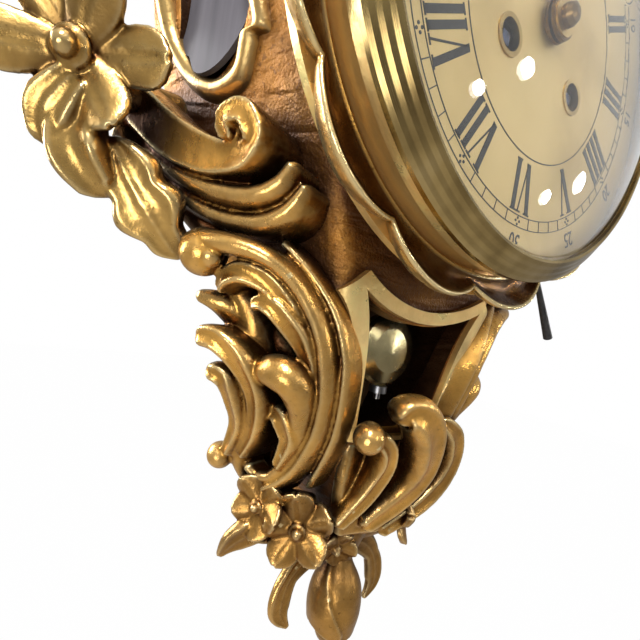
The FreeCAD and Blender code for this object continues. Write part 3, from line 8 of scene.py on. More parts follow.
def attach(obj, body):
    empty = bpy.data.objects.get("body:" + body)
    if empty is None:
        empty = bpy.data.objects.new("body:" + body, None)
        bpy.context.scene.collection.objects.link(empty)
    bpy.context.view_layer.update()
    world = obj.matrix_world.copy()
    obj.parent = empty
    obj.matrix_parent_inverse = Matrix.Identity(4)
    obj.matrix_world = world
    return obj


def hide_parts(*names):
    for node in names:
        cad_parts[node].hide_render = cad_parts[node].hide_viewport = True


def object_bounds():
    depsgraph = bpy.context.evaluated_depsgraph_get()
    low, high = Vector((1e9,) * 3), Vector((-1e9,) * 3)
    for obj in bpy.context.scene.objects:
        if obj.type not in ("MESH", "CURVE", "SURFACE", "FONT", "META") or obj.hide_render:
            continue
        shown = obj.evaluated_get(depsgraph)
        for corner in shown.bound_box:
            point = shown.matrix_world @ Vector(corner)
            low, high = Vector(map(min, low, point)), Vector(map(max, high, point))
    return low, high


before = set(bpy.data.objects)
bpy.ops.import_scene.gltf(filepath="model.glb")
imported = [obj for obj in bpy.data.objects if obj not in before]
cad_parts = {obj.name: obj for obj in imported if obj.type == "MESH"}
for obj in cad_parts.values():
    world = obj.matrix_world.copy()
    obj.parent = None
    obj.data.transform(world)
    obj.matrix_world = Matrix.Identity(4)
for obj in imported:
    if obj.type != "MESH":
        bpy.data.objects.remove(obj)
cad_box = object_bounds()

# Camera: close under the clock's left side, a wide lens that looks along the flank to the dial.
# It looks level but for one degree, and its roll of nine degrees makes the clock lean in the frame.
scene = bpy.context.scene
scene.view_settings.view_transform = "Standard"
camera = bpy.data.objects.new("camera", bpy.data.cameras.new("camera"))
scene.collection.objects.link(camera)
camera.data.sensor_width = 36
camera.data.lens = 20.8125
camera.data.clip_start = 0.005
camera_spot = Vector((-0.115485, -0.164406, -0.213622))
look_right = Vector((0.82277404, -0.54453254, 0.16287167))
look_down = Vector((0.12480267, -0.10647781, -0.98645161))
look_ahead = Vector((0.55449722, 0.8319536, -0.01964806))
camera_turn = Matrix((look_right, -look_down, -look_ahead)).transposed().to_4x4()
camera.matrix_world = Matrix.Translation(camera_spot) @ camera_turn
scene.camera = camera

# Studio: a pale floor well below the hanging clock, a white surround, soft lamps to the left in front,
# low in front and beside the left flank, and four small bright ones on the right that glint in the glass.
FLOOR_HALF, FLOOR_BELOW, FLOOR_WHITE = 6, 0.9, 0.992
CLOCK_MIDDLE = Vector((0, -0.06, -0.12))
BLACK, WHITE = (0, 0, 0, 1), (1, 1, 1, 1)
LAMPS = (("key_lamp", (-0.65, -0.9, 0.9), 0.42, 31), ("low_lamp", (-0.75, -0.65, -0.45), 0.4, 3),
         ("flank_lamp", (-0.95, 0.75, 0.12), 0.9, 24), ("glint_lamp_1", (0.319, -1.124, 0.049), 0.07, 0.5),
         ("glint_lamp_2", (0.514, -0.998, 0.206), 0.08, 0.7),
         ("glint_lamp_3", (0.877, -0.762, -0.161), 0.06, 0.5),
         ("glint_lamp_4", (0.981, -0.598, -0.009), 0.08, 0.7))


def wire(tree, node, inputs):
    """Sets a node's inputs to plain values or links."""
    for key, value in inputs.items():
        if isinstance(value, bpy.types.NodeSocket):
            tree.links.new(value, node.inputs[key])
        else:
            node.inputs[key].default_value = value


def plant(tree, kind, inputs=None, **settings):
    """One node, with its settings, plain values and links."""
    node = tree.nodes.new(kind)
    for key, value in settings.items():
        setattr(node, key, value)
    wire(tree, node, inputs or {})
    return node


def reckon(tree, operation, *terms):
    """One step of arithmetic."""
    return plant(tree, "ShaderNodeMath", dict(enumerate(terms)), operation=operation).outputs[0]


def ranged(tree, value, low, high, first=0.0, last=1.0):
    """A value that runs from first to last, stretched to run from low to high."""
    limits = {"From Min": first, "From Max": last, "To Min": low, "To Max": high}
    return plant(tree, "ShaderNodeMapRange", {"Value": value, **limits}).outputs[0]


def looked_at(tree):
    """One where the camera looks straight or through glass, nought for all other light."""
    rays = plant(tree, "ShaderNodeLightPath").outputs
    return reckon(tree, "MAXIMUM", rays["Is Camera Ray"], rays["Is Transmission Ray"])


floor_mesh = bpy.data.meshes.new("studio_floor")
floor_low = cad_box[0][2] - FLOOR_BELOW
floor_corners = [(x * FLOOR_HALF, y * FLOOR_HALF, floor_low) for x, y in ((-1, -1), (1, -1), (1, 1), (-1, 1))]
floor_mesh.from_pydata(floor_corners, [], [(0, 1, 2, 3)])
studio_floor = bpy.data.objects.new("studio_floor", floor_mesh)
scene.collection.objects.link(studio_floor)
floor_paint = bpy.data.materials.new("floor_paint")
floor_paint.use_nodes = True
paint = floor_paint.node_tree
paint.nodes.clear()
matt = plant(paint, "ShaderNodeBsdfDiffuse", {"Color": (0.4, 0.38, 0.36, 1)})
plain_white = plant(paint, "ShaderNodeEmission", {"Color": WHITE, "Strength": 1})
seen = reckon(paint, "MULTIPLY", looked_at(paint), FLOOR_WHITE)
shown = plant(paint, "ShaderNodeMixShader", {0: seen, 1: matt.outputs[0], 2: plain_white.outputs[0]})
plant(paint, "ShaderNodeOutputMaterial", {"Surface": shown.outputs[0]})
floor_mesh.materials.append(floor_paint)

scene.world = bpy.data.worlds.new("studio")
scene.world.use_nodes = True
surround = scene.world.node_tree
surround.nodes.clear()
direction = plant(surround, "ShaderNodeTexCoord").outputs["Generated"]
height = plant(surround, "ShaderNodeSeparateXYZ", {0: direction}).outputs["Z"]
ambient = ranged(surround, height, 0.1, 0.8, -0.45, 0.9)
level = reckon(surround, "MAXIMUM", ambient, looked_at(surround))
sky = plant(surround, "ShaderNodeBackground", {"Color": WHITE, "Strength": level})
plant(surround, "ShaderNodeOutputWorld", {"Surface": sky.outputs[0]})

for lamp_name, spot, size, power in LAMPS:
    lamp = bpy.data.objects.new(lamp_name, bpy.data.lights.new(lamp_name, "AREA"))
    lamp.data.shape = "DISK"
    lamp.data.size = size
    lamp.data.energy = power
    lamp.location = spot
    lamp.rotation_euler = (CLOCK_MIDDLE - Vector(spot)).to_track_quat("-Z", "Y").to_euler()
    scene.collection.objects.link(lamp)

# Case: a hollow body of carved wood, gessoed and gilt over red clay, with a stippled ground.
# The back board is bare wood, screwed on behind, and carries the steel hanger plate.


def tint(colour, share):
    """A colour made darker or lighter."""
    return tuple(min(1, part * share) for part in colour[:3]) + (1,)


def grey(share):
    """An even grey, for a factor that comes from a ramp."""
    return share, share, share, 1


def steer(tree, operation, *terms):
    """One step of vector arithmetic."""
    return plant(tree, "ShaderNodeVectorMath", dict(enumerate(terms)), operation=operation).outputs


def graded(tree, factor, stops):
    """A ramp between colours, each stop (place, colour)."""
    node = plant(tree, "ShaderNodeValToRGB", {"Fac": factor})
    ramp = node.color_ramp
    while len(ramp.elements) < len(stops):
        ramp.elements.new(0.5)
    for element, (spot, colour) in zip(ramp.elements, stops):
        element.position = spot
        element.color = colour
    return node.outputs["Color"]


def blended(tree, factor, under, over):
    """One colour laid over another by a factor."""
    return plant(tree, "ShaderNodeMix", {0: factor, 6: under, 7: over}, data_type="RGBA").outputs[2]


def clouds(tree, place, scale, detail, rough=0.5, twist=0.0):
    """Noise in the material, with its scale per metre."""
    inputs = {"Vector": place, "Scale": scale, "Detail": detail, "Roughness": rough, "Distortion": twist}
    return plant(tree, "ShaderNodeTexNoise", inputs).outputs[0]


def drawn_out(tree, place, stretch):
    """Places squeezed across the grain, so that a pattern runs along it."""
    return plant(tree, "ShaderNodeMapping", {"Vector": place, "Scale": stretch}).outputs[0]


def bumped(tree, height, strength, distance, under=None):
    """Fine relief, laid over broader relief where asked."""
    inputs = {"Height": height, "Strength": strength, "Distance": distance}
    if under is not None:
        inputs["Normal"] = under
    return plant(tree, "ShaderNodeBump", inputs).outputs[0]


def new_finish(name):
    """An empty material with its surface shader."""
    material = bpy.data.materials.new(name)
    material.use_nodes = True
    tree = material.node_tree
    tree.nodes.clear()
    skin = plant(tree, "ShaderNodeBsdfPrincipled")
    plant(tree, "ShaderNodeOutputMaterial", {"Surface": skin.outputs[0]})
    place = plant(tree, "ShaderNodeTexCoord").outputs["Object"]
    return material, tree, skin, place


def gilding(name, gold, clay_and_shade, gloss, stipple, patchy, pale_wear_and_highlight=None, wear_and_highlight=0.0, metal=0.88, folds=0.0):
    """Gold leaf over red clay: clouded gold, stains, the clay colour laid into the hollows as painted shade,
    and a fine tooth.
    Sharp edges are painted pale, partly as wear and partly as painted highlight. A folded ground is cut in
    shallow waves, and where it turns in on the case's inside it is darkened as painted shade."""
    material, tree, skin, place = new_finish(name)
    cloud = clouds(tree, place, 42.0, 7.0, 0.62)
    tone = graded(tree, cloud, [(0.3, tint(gold, 0.6)), (0.5, gold), (0.68, tint(gold, 1.3))])
    stained = graded(tree, clouds(tree, place, 19.0, 6.0, 0.6), [(0.4, grey(patchy)), (0.58, BLACK)])
    stain = tuple(0.2 * bright + 0.5 * dark for bright, dark in zip(gold[:3], clay_and_shade)) + (1,)
    tone = blended(tree, stained, tone, stain)
    # Painted shade: ambient occlusion, mottled by fine noise, lays the clay colour into hollows, creases and
    # corners.
    painted_shade_ao = plant(tree, "ShaderNodeAmbientOcclusion", {"Distance": 0.024}, samples=6).outputs["AO"]
    uneven = reckon(tree, "MULTIPLY_ADD", clouds(tree, place, 260.0, 4.0), 0.22, -0.11)
    hollow = graded(tree, reckon(tree, "ADD", painted_shade_ao, uneven), [(0.54, WHITE), (0.97, BLACK)])
    tone = blended(tree, hollow, tone, clay_and_shade)
    # Wear and painted highlight: sharp convex edges, found by pointiness, are painted pale.
    if wear_and_highlight:
        ridge = plant(tree, "ShaderNodeNewGeometry").outputs["Pointiness"]
        rubbed_and_highlit = graded(tree, ridge, [(0.503, BLACK), (0.565, WHITE)])
        tone = blended(tree, reckon(tree, "MULTIPLY", rubbed_and_highlit, wear_and_highlight), tone, pale_wear_and_highlight)
    first = 0.68 - 0.13 * stipple
    bare = graded(tree, clouds(tree, place, 520.0, 3.0), [(first, BLACK), (first + 0.1, grey(0.6))])
    tone = blended(tree, bare, tone, clay_and_shade)
    carved = None
    if folds:
        cuts = clouds(tree, drawn_out(tree, place, (24, 24, 95)), 1.0, 2.0, twist=1.2)
        carved = bumped(tree, cuts, folds, 0.006)
        # Painted shade: where the ground faces in towards the case's axis, on the case's inside, it takes a
        # darker clay colour.
        surface = plant(tree, "ShaderNodeNewGeometry").outputs
        sideways = steer(tree, "MULTIPLY", surface["Position"], (1, 1, 0))["Vector"]
        from_axis = steer(tree, "ADD", sideways, (0, 0.02, 0))["Vector"]
        outward = steer(tree, "DOT_PRODUCT", from_axis, surface["Normal"])["Value"]
        unlit = reckon(tree, "LESS_THAN", outward, -0.002)
        tone = blended(tree, unlit, tone, tint(clay_and_shade, 0.6))
    broad = bumped(tree, clouds(tree, place, 130.0, 2.0), 0.22 + 0.4 * stipple, 0.0012, carved)
    fine = bumped(tree, clouds(tree, place, 1100.0, 3.0), stipple, 0.0005, broad)
    wire(tree, skin, {"Base Color": tone, "Metallic": metal, "Normal": fine,
                      "Roughness": ranged(tree, cloud, gloss + 0.1, gloss - 0.07, 0.3, 0.7)})
    return material


def dress(material, *names):
    """Gives turned, sawn and cast pieces their finish."""
    for name in names:
        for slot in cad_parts[name].material_slots:
            slot.material = material


gilt_ground = gilding("gilt_ground", gold=(0.84, 0.375, 0.062, 1), clay_and_shade=(0.07, 0.025, 0.006, 1),
                      gloss=0.42, stipple=0.8, patchy=0.55, metal=0.6, folds=0.5)
dress(gilt_ground, "case_shell")


def patterned(tree, skin, pattern, stops, rough, relief):
    """One pattern for a finish's colour, its roughness (low, high) and its relief (strength, depth)."""
    wire(tree, skin, {"Base Color": graded(tree, pattern, stops), "Roughness": ranged(tree, pattern, *rough),
                      "Normal": bumped(tree, pattern, *relief)})


bare_wood, tree, skin, place = new_finish("bare_wood")
grain = clouds(tree, drawn_out(tree, place, (60, 60, 4)), 3.0, 8.0)
patterned(tree, skin, grain, [(0.3, (0.22, 0.12, 0.05, 1)), (0.65, (0.42, 0.27, 0.14, 1))], (0.75, 0.55),
          (0.3, 0.0005))
dress(bare_wood, "back_board", "gong_block")


def worked_metal(name, bright, dull, gloss, scale):
    """Filed and handled metal: clouded tarnish, short scratches."""
    material, tree, skin, place = new_finish(name)
    cloud = clouds(tree, place, scale, 6.0, 0.6)
    scratches = clouds(tree, place, scale * 22, 2.0)
    wire(tree, skin, {"Base Color": graded(tree, cloud, [(0.32, dull), (0.62, bright)]), "Metallic": 1.0,
                      "Roughness": ranged(tree, cloud, gloss + 0.14, gloss, 0.3, 0.7),
                      "Normal": bumped(tree, scratches, 0.08, 0.0002)})
    return material


steel = worked_metal("steel", (0.42, 0.42, 0.43, 1), (0.2, 0.2, 0.21, 1), gloss=0.26, scale=90)
dress(steel, "hanger_plate", "hanger_screws")

# Side windows: a half-round gilt moulding of cartouche outline, eared at its front corners, on each flank.
# Dark old glass is set into the opening behind it.
MM = 0.001
DIAL_DROP = 110.0
CASE_LEVELS = ((128, 40, 58, 62), (100, 60, 84, 69), (55, 75, 102, 72), (0, 75, 104, 72), (-50, 58, 86, 69.5),
               (-94, 41, 64, 63.3), (-130, 30, 46, 58.2), (-165, 19, 30, 53.2), (-196, 11, 18, 49))
SIDE_BACK, SIDE_UP = 44.5, 2.0
FRAME_SECTION = [(-1, -5), (-1, 0.6), (-0.5, 2.3), (0.7, 3.9), (2.3, 4.9), (4, 5), (5.4, 4.3), (6.5, 2.8),
                 (7, 1), (7, -3)]
FRAME_STEPS = 10
BROAD_WAVE, FINE_WAVE = 170, 420


def row(spot):
    """From millimetres round the dial's centre line to the hanging clock's own metres."""
    return Vector((spot[0] * MM, spot[1] * MM, (spot[2] - DIAL_DROP) * MM))


def case_at(up):
    """The case at a height over the dial's centre: half width in front, half width at the wall, depth."""
    for upper, lower in zip(CASE_LEVELS, CASE_LEVELS[1:]):
        if up >= lower[0] or lower is CASE_LEVELS[-1]:
            share = (up - lower[0]) / (upper[0] - lower[0])
            return [low + share * (high - low) for high, low in zip(upper[1:], lower[1:])]


def on_flank(back, up, proud):
    """A spot on the left flank: behind the front corner, at a height, proud of the wood."""
    front_half, wall_half, deep = case_at(up)
    along = Vector((front_half - wall_half, deep, 0)).normalized()
    outward = Vector((-along.y, along.x, 0))
    return Vector((-front_half, -deep, up)) + along * back + outward * proud, outward


def smooth_line(path, per):
    """Steps between set-out points, on a smooth line."""
    steps = []
    for k in range(len(path) - 1):
        quad = path[max(k - 1, 0)], path[k], path[k + 1], path[min(k + 2, len(path) - 1)]
        for j in range(per):
            t = j / per
            steps.append([0.5 * (2 * b + (c - a) * t + (2 * a - 5 * b + 4 * c - d) * t * t
                                 + (3 * b - a - 3 * c + d) * t ** 3) for a, b, c, d in zip(*quad)])
    return steps + [list(path[-1])]


def close_round(mesh, rings):
    """Faces between closed outlines that stand in a circle."""
    for ring, after in zip(rings, rings[1:] + rings[:1]):
        for j in range(len(ring)):
            mesh.faces.new((ring[j], ring[j - 1], after[j - 1], after[j]))


def as_drawn(holder):
    """The mesh that an object shows with its modifiers."""
    return bpy.data.meshes.new_from_object(holder.evaluated_get(bpy.context.evaluated_depsgraph_get()))


def finish_mesh(name, mesh, voxel=0, soften=0, roughen=0):
    """Closes what was carved into one skin, softens it and leaves the tool's slight unevenness."""
    bmesh.ops.recalc_face_normals(mesh, faces=mesh.faces)
    data = bpy.data.meshes.new(name)
    mesh.to_mesh(data)
    mesh.free()
    piece = bpy.data.objects.new(name, data)
    scene.collection.objects.link(piece)
    if voxel:
        skin = piece.modifiers.new("skin", "REMESH")
        skin.mode = "VOXEL"
        skin.voxel_size = voxel * MM
    if soften:
        rub = piece.modifiers.new("rub", "SMOOTH")
        rub.factor = 0.5
        rub.iterations = soften
    done = as_drawn(piece)
    piece.modifiers.clear()
    piece.data = done
    bpy.data.meshes.remove(data)
    done.name = name
    if roughen:
        normals = [vertex.normal.copy() for vertex in done.vertices]
        for vertex, outward in zip(done.vertices, normals):
            wave = noise.noise(vertex.co * BROAD_WAVE) + 0.5 * noise.noise(vertex.co * FINE_WAVE)
            vertex.co += outward * (wave * roughen * MM)
    for face in done.polygons:
        face.use_smooth = soften > 0
    return piece


def fit(piece, material, node):
    """A finished carving on the case, in place of the plain solid it was roughed out from."""
    piece.data.materials.clear()
    piece.data.materials.append(material)
    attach(piece, "case")
    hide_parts(node)


def cartouche(spread):
    """The window's outline at a distance from its opening, as (forward, up) steps."""
    upper = [(-20 - spread, 13), (-15.6 - 0.8 * spread, 22.2 + 0.6 * spread),
             (-9 - 0.4 * spread, 28.6 + 0.9 * spread), (0, 31.8 + spread),
             (8.5 + 0.6 * spread, 29.8 + 0.8 * spread), (12.2 + spread, 24.5 + 0.3 * spread),
             (13.5 + spread, 22.6 + 0.2 * spread), (18.6 + spread, 21 + 0.3 * spread), (18 + spread, 13)]
    spots = [(-20.6 - spread, 0)] + upper + [(17.3 + spread, 0)] + [(x, -y) for x, y in reversed(upper)]
    steps = smooth_line([spots[-1]] + spots + spots[:2], FRAME_STEPS)
    return steps[FRAME_STEPS:FRAME_STEPS * (len(spots) + 1)]


gilt_frame = gilding("gilt_frame", gold=(0.55, 0.335, 0.095, 1), clay_and_shade=(0.12, 0.048, 0.012, 1),
                     gloss=0.3, stipple=0.2, patchy=0.3, pale_wear_and_highlight=(0.88, 0.7, 0.34, 1), wear_and_highlight=0.4)
frames = bmesh.new()
for way in (1, -1):
    frame_rings = []
    for steps in zip(*[cartouche(spread) for spread, _ in FRAME_SECTION]):
        spots = [on_flank(SIDE_BACK - forward, SIDE_UP + up, proud)[0]
                 for (forward, up), (_, proud) in zip(steps, FRAME_SECTION)]
        frame_rings.append([frames.verts.new(row((way * spot.x, spot.y, spot.z))) for spot in spots])
    close_round(frames, frame_rings)
fit(finish_mesh("side_mouldings", frames, soften=1, roughen=0.12), gilt_frame, "side_window_frames")

smoked_glass, tree, skin, place = new_finish("smoked_glass")
streaks = clouds(tree, drawn_out(tree, place, (30, 30, 3)), 2.0, 4.0)
patterned(tree, skin, streaks, [(0.3, (0.05, 0.047, 0.053, 1)), (0.7, (0.15, 0.142, 0.158, 1))], (0.12, 0.3),
          (0.06, 0.001))
wire(tree, skin, {"Specular IOR Level": 0.02})
dress(smoked_glass, "side_glasses")

# Drum and leaf rim: a turned wooden drum that carries the dial, and round it a carved wavy leaf edge,
# hollowed so that a dark gutter runs between it and the drum. The pendulum window's plain frame, set
# into the case below, has the drum's gilding.
gilt_carving = gilding("gilt_carving", gold=(0.80, 0.425, 0.095, 1), clay_and_shade=(0.05, 0.016, 0.003, 1),
                       gloss=0.26, stipple=0.2, patchy=0.5, pale_wear_and_highlight=(1.0, 0.86, 0.47, 1), wear_and_highlight=0.65)
# Painted light: the drum's gilding is a brighter copy of the carving's. Its bright gold and light clay colour
# stand in for the light the drum catches, so its painted shade stays faint.
drum_gilt_painted_bright = gilding("drum_gilt_painted_bright", gold=(1.0, 0.73, 0.31, 1), clay_and_shade=(0.75, 0.46, 0.15, 1),
                    gloss=0.3, stipple=0.2, patchy=0.3, metal=0.65)
dress(drum_gilt_painted_bright, "dial_drum", "pendulum_window_frame")
RIM_STEPS, RIM_LOBES, RIM_VALLEY, RIM_SWELL = 576, 12, 86.0, 7.5
RIM_INNER, RIM_BACK, RIM_FRONT, FRONT_SWELL, FLUTE_DEEP = 80.45, 80.1, 84.8, 3.6, 0.45
rim = bmesh.new()
rim_rings = []
for k in range(RIM_STEPS):
    turn = math.tau * k / RIM_STEPS
    swell = abs(math.sin(RIM_LOBES * turn / 2)) ** 0.8
    edge, crest_out = RIM_VALLEY + RIM_SWELL * swell, RIM_FRONT + FRONT_SWELL * swell
    flute = FLUTE_DEEP * math.cos(RIM_LOBES * 3 * turn) * swell
    gutter = RIM_INNER + 0.45 * (edge - RIM_INNER)
    outline = [(RIM_INNER, RIM_BACK), (RIM_INNER, 83.4), (RIM_INNER + 0.7, 83.9), (RIM_INNER + 1.6, 83.2),
               (gutter, 82.7 + flute), (gutter + 0.3 * (edge - gutter), 83.3 + flute),
               (edge - 1.7, crest_out - 0.7), (edge - 1.0, crest_out), (edge - 0.35, crest_out - 0.3),
               (edge, crest_out - 1.2), (edge - 0.5, 0.5 * (crest_out + RIM_BACK)), (edge - 1.6, RIM_BACK)]
    aside, upright = math.sin(turn), math.cos(turn)
    rim_rings.append([rim.verts.new(row((r * aside, -out, r * upright))) for r, out in outline])
close_round(rim, rim_rings)
fit(finish_mesh("leaf_rim_carved", rim, soften=1, roughen=0.12), gilt_carving, "leaf_rim")

# Upper scrolls: under each side window a broad band rolls into a volute above a double moulding.
# Each is carved from one block, glued to the flank, gessoed and gilt with the case.
FACE_STEPS, BACK_STEPS = 20, 10
STRIP_STEPS, LEAST_SIZE = 8, 0.8


def worked_face(hollow, edge, ridge=0.0):
    """Outline of a carved strip: a face hollowed between its edges, a midrib, and a round back."""
    outline = []
    for k in range(FACE_STEPS + 1):
        u = -math.cos(math.pi * k / FACE_STEPS)
        size = abs(u)
        if size < edge:
            high = 1 - hollow * (1 - (size / edge) ** 2) + ridge * math.exp(-(u / 0.16) ** 2)
        else:
            high = math.sqrt(max(0, 1 - ((size - edge) / (1 - edge)) ** 2))
        outline.append((u, high))
    for k in range(1, BACK_STEPS):
        u = math.cos(math.pi * k / BACK_STEPS)
        outline.append((u, -math.sqrt(1 - u * u)))
    return outline


ROUND_RIB = worked_face(0, 0.02)
FLAT_BAND = worked_face(0.14, 0.84)
LEAF = worked_face(0.2, 0.58)
GOUGED = worked_face(0.32, 0.62)
VEINED = worked_face(0.3, 0.7, 0.2)


def strip(mesh, on, path, outline, root=0, lobes=0):
    """A carved strip along a path, each step (three places, wide, thick), its back let in to a root."""
    steps = smooth_line(path, STRIP_STEPS)
    spots = [on(*step[:3]) for step in steps]
    last = len(spots) - 1
    rings, heads = [], []
    for k, (spot, outward) in enumerate(spots):
        ahead = (spots[min(k + 1, last)][0] - spots[max(k - 1, 0)][0]).normalized()
        across = ahead.cross(outward)
        if across.length < 0.35:
            across = ahead.cross(Vector((0, 0, 1)))
        across.normalize()
        over = across.cross(ahead)
        wide = max(steps[k][3], LEAST_SIZE) / 2
        if lobes:
            wide *= 0.74 + 0.26 * abs(math.sin(math.pi * lobes * k / last))
        thick = max(steps[k][4], LEAST_SIZE) / 2
        rings.append([mesh.verts.new(row(spot + across * (u * wide) + over * (high * thick)
                                         + outward * min(0, high * root))) for u, high in outline])
        heads.append((spot, ahead, min(wide, thick)))
    for ring, after in zip(rings, rings[1:]):
        for j in range(len(ring)):
            mesh.faces.new((ring[j - 1], ring[j], after[j], after[j - 1]))
    for ring, (spot, ahead, reach), way in ((rings[0], heads[0], -1), (rings[-1], heads[-1], 1)):
        middle = spot + ahead * (way * reach * 0.75)
        tip = mesh.verts.new(row(middle))
        swell = (row(middle) - row(spot)) * 0.62
        shoulder = [mesh.verts.new(0.55 * v.co + 0.45 * row(spot) + swell) for v in ring]
        for j in range(len(ring)):
            mesh.faces.new((ring[j - 1], ring[j], shoulder[j], shoulder[j - 1]))
            mesh.faces.new((shoulder[j - 1], shoulder[j], tip))


def knob(mesh, spot, radius, facing=None, flat=1.0):
    """A round boss, flattened towards its face where asked."""
    made = bmesh.ops.create_uvsphere(mesh, u_segments=28, v_segments=16, radius=radius * MM)
    turn = facing.to_track_quat("Z", "Y").to_matrix().to_4x4() if facing else Matrix()
    place = Matrix.Translation(row(spot)) @ turn @ Matrix.Diagonal((1, 1, flat, 1))
    bmesh.ops.transform(mesh, matrix=place, verts=made["verts"])


def twin(piece, name, node):
    """The same carving for the other side, handed over."""
    data = piece.data.copy()
    data.name = name
    data.transform(Matrix.Diagonal((-1, 1, 1, 1)))
    data.flip_normals()
    other = bpy.data.objects.new(name, data)
    scene.collection.objects.link(other)
    fit(other, piece.data.materials[0], node)


scroll = bmesh.new()
strip(scroll, on_flank, [
    (73, -37, 18, 14, 12), (63.3, -44.5, 20, 14.5, 12), (50.9, -54.2, 19, 14.5, 12),
    (38.2, -59.8, 17.5, 13, 12), (28.5, -61.6, 16, 10.5, 12), (20.5, -61.4, 15.5, 8.5, 12),
    (15.3, -56.8, 15.5, 8, 12), (18.2, -51.4, 16, 7.5, 12), (24.3, -51.8, 17, 7, 12),
    (25.2, -55.4, 17, 5, 11)], FLAT_BAND, root=14)
knob(scroll, on_flank(20.5, -56.8, 15)[0], 5)
strip(scroll, on_flank, [
    (74, -47, 18, 7, 12), (68.8, -52.5, 20, 7, 12), (52.7, -63.6, 20, 7.5, 12), (35.6, -70, 18.5, 7.5, 12),
    (21, -71.5, 16, 7.5, 11), (12.5, -68, 12.5, 6.5, 10), (8.5, -62, 9.5, 4.5, 8)], ROUND_RIB, root=14)
strip(scroll, on_flank, [
    (66, -62.5, 18, 6, 12), (52.8, -70.3, 19, 7, 12), (37.3, -76.8, 17.5, 7.5, 12),
    (21, -78.8, 15, 7.5, 11), (10.5, -75, 11.5, 6.5, 10), (5, -67.5, 8, 4, 8)], ROUND_RIB, root=14)
strip(scroll, on_flank, [
    (72, -51, 26, 11, 9), (64.5, -60, 23, 12, 9), (57.5, -67.5, 20, 12, 9), (50.5, -77, 16, 12, 9),
    (45.5, -82, 14, 10, 8)], ROUND_RIB, root=16)
strip(scroll, on_flank, [
    (70, -54, 0, 22, 10), (60, -58, 0, 26, 10), (46, -65, 0, 26, 10), (30, -70, 0, 24, 9),
    (17, -70, -1, 16, 8)], FLAT_BAND)
upper_scroll = finish_mesh("upper_scroll_carved_left", scroll, voxel=0.65, soften=2, roughen=0.12)
fit(upper_scroll, gilt_carving, "upper_scroll_left")
twin(upper_scroll, "upper_scroll_carved_right", "upper_scroll_right")

# Lower scrolls: a C-scroll along each front corner, rolled into a ball above, with acanthus inside it.
# The ribs stand off each other by deep gouged grooves, which the clay colour fills as painted shade.
scroll = bmesh.new()
strip(scroll, on_flank, [
    (37, -86, 26, 8, 9), (27, -86.6, 24.5, 7, 9), (17.5, -88.2, 20, 6.2, 9), (11.5, -92.2, 15, 5.8, 9),
    (6.4, -99.6, 11, 5.5, 9), (2, -110.5, 8.5, 5.3, 9), (0.2, -123.6, 8, 5.2, 9), (0.6, -136, 8.5, 5, 9),
    (3.8, -151, 11, 4.6, 9), (12.5, -169, 17, 4.4, 9), (27.5, -182.5, 24, 4.2, 8)], ROUND_RIB, root=8)
for back, up, proud, radius in ((40, -89.6, 26, 8.4), (34, -91, 28, 4), (42, -169.5, 31, 5.6)):
    knob(scroll, on_flank(back, up, proud)[0], radius)
strip(scroll, on_flank, [
    (16.5, -82.5, 9, 3, 6), (8.6, -89.6, 6.5, 3, 6), (0.6, -101, 4, 3, 6), (-3.6, -113, 3, 3, 6),
    (-4.4, -126, 3, 3, 6), (-1, -149, 5, 3, 6), (8.5, -173, 9, 2.8, 6)], ROUND_RIB, root=6)
strip(scroll, on_flank, [
    (35.5, -100.5, 24, 5, 5), (30.5, -96.4, 23.5, 7.5, 7), (24.5, -94.6, 20.5, 9, 8),
    (17.4, -96.8, 16.5, 8.6, 8), (11.5, -103.2, 13, 7, 7), (6.7, -113, 10, 5, 6),
    (5, -119, 9, 3, 5)], LEAF, root=12)
strip(scroll, on_flank, [
    (23.5, -104.6, 20, 4.5, 5), (19.5, -103.4, 18.5, 7, 7), (14.5, -105.4, 16, 9, 8),
    (9.1, -112.2, 12.5, 9.5, 8), (6.3, -119.5, 10.5, 7, 7), (4.3, -129.3, 9, 3, 5)], LEAF, root=10)
strip(scroll, on_flank, [
    (46.5, -104.5, 26, 5, 5), (40, -106, 22, 9, 7), (34.5, -111.5, 15.5, 15, 9), (27, -118.5, 10, 18, 9),
    (20, -124.5, 7.5, 13, 8)], ROUND_RIB, root=12)
strip(scroll, on_flank, [
    (40, -118.6, 32, 8, 7), (33.5, -118.6, 29, 10, 8), (27, -123.6, 25.5, 11, 9),
    (23.2, -132.5, 22.5, 10.5, 9), (22.6, -142, 21.5, 9.8, 9), (25.5, -154.5, 23, 7.5, 8),
    (31, -165, 26, 4.5, 6)], LEAF, root=16)
strip(scroll, on_flank, [
    (38, -131, 31, 7.5, 7), (33.5, -133.2, 28, 9, 8), (32, -141.4, 25.5, 9.2, 9), (32.5, -152, 25, 8.2, 8),
    (37.5, -166, 29.5, 5, 6)], LEAF, root=16)
strip(scroll, on_flank, [
    (20, -127, 21, 9.5, 9), (13.5, -126.2, 20.5, 12.5, 11), (9, -128.4, 18.5, 13, 12),
    (7.4, -134, 16, 11.5, 11), (7.6, -141, 14.5, 8.8, 10), (9.5, -152, 15.5, 6.6, 8),
    (14, -163.5, 17.5, 6, 7), (20, -171.5, 20.5, 5, 6), (26, -173, 23.5, 4.4, 5),
    (29.5, -170, 25, 3.6, 5)], ROUND_RIB, root=6)
strip(scroll, on_flank, [
    (19.5, -142.6, 18, 6, 6), (15, -143.4, 17.5, 9, 8), (12, -147.8, 17, 9.5, 8),
    (11.2, -153.4, 17, 8.4, 8), (15.2, -164.5, 20, 4.8, 6)], LEAF, root=8)
strip(scroll, on_flank, [
    (18, -95, -1, 20, 8), (18, -110, 0, 34, 9), (20, -128, 0, 38, 10), (22, -148, 1, 34, 12),
    (24, -165, 4, 24, 14), (24, -178, 9, 12, 12)], FLAT_BAND)
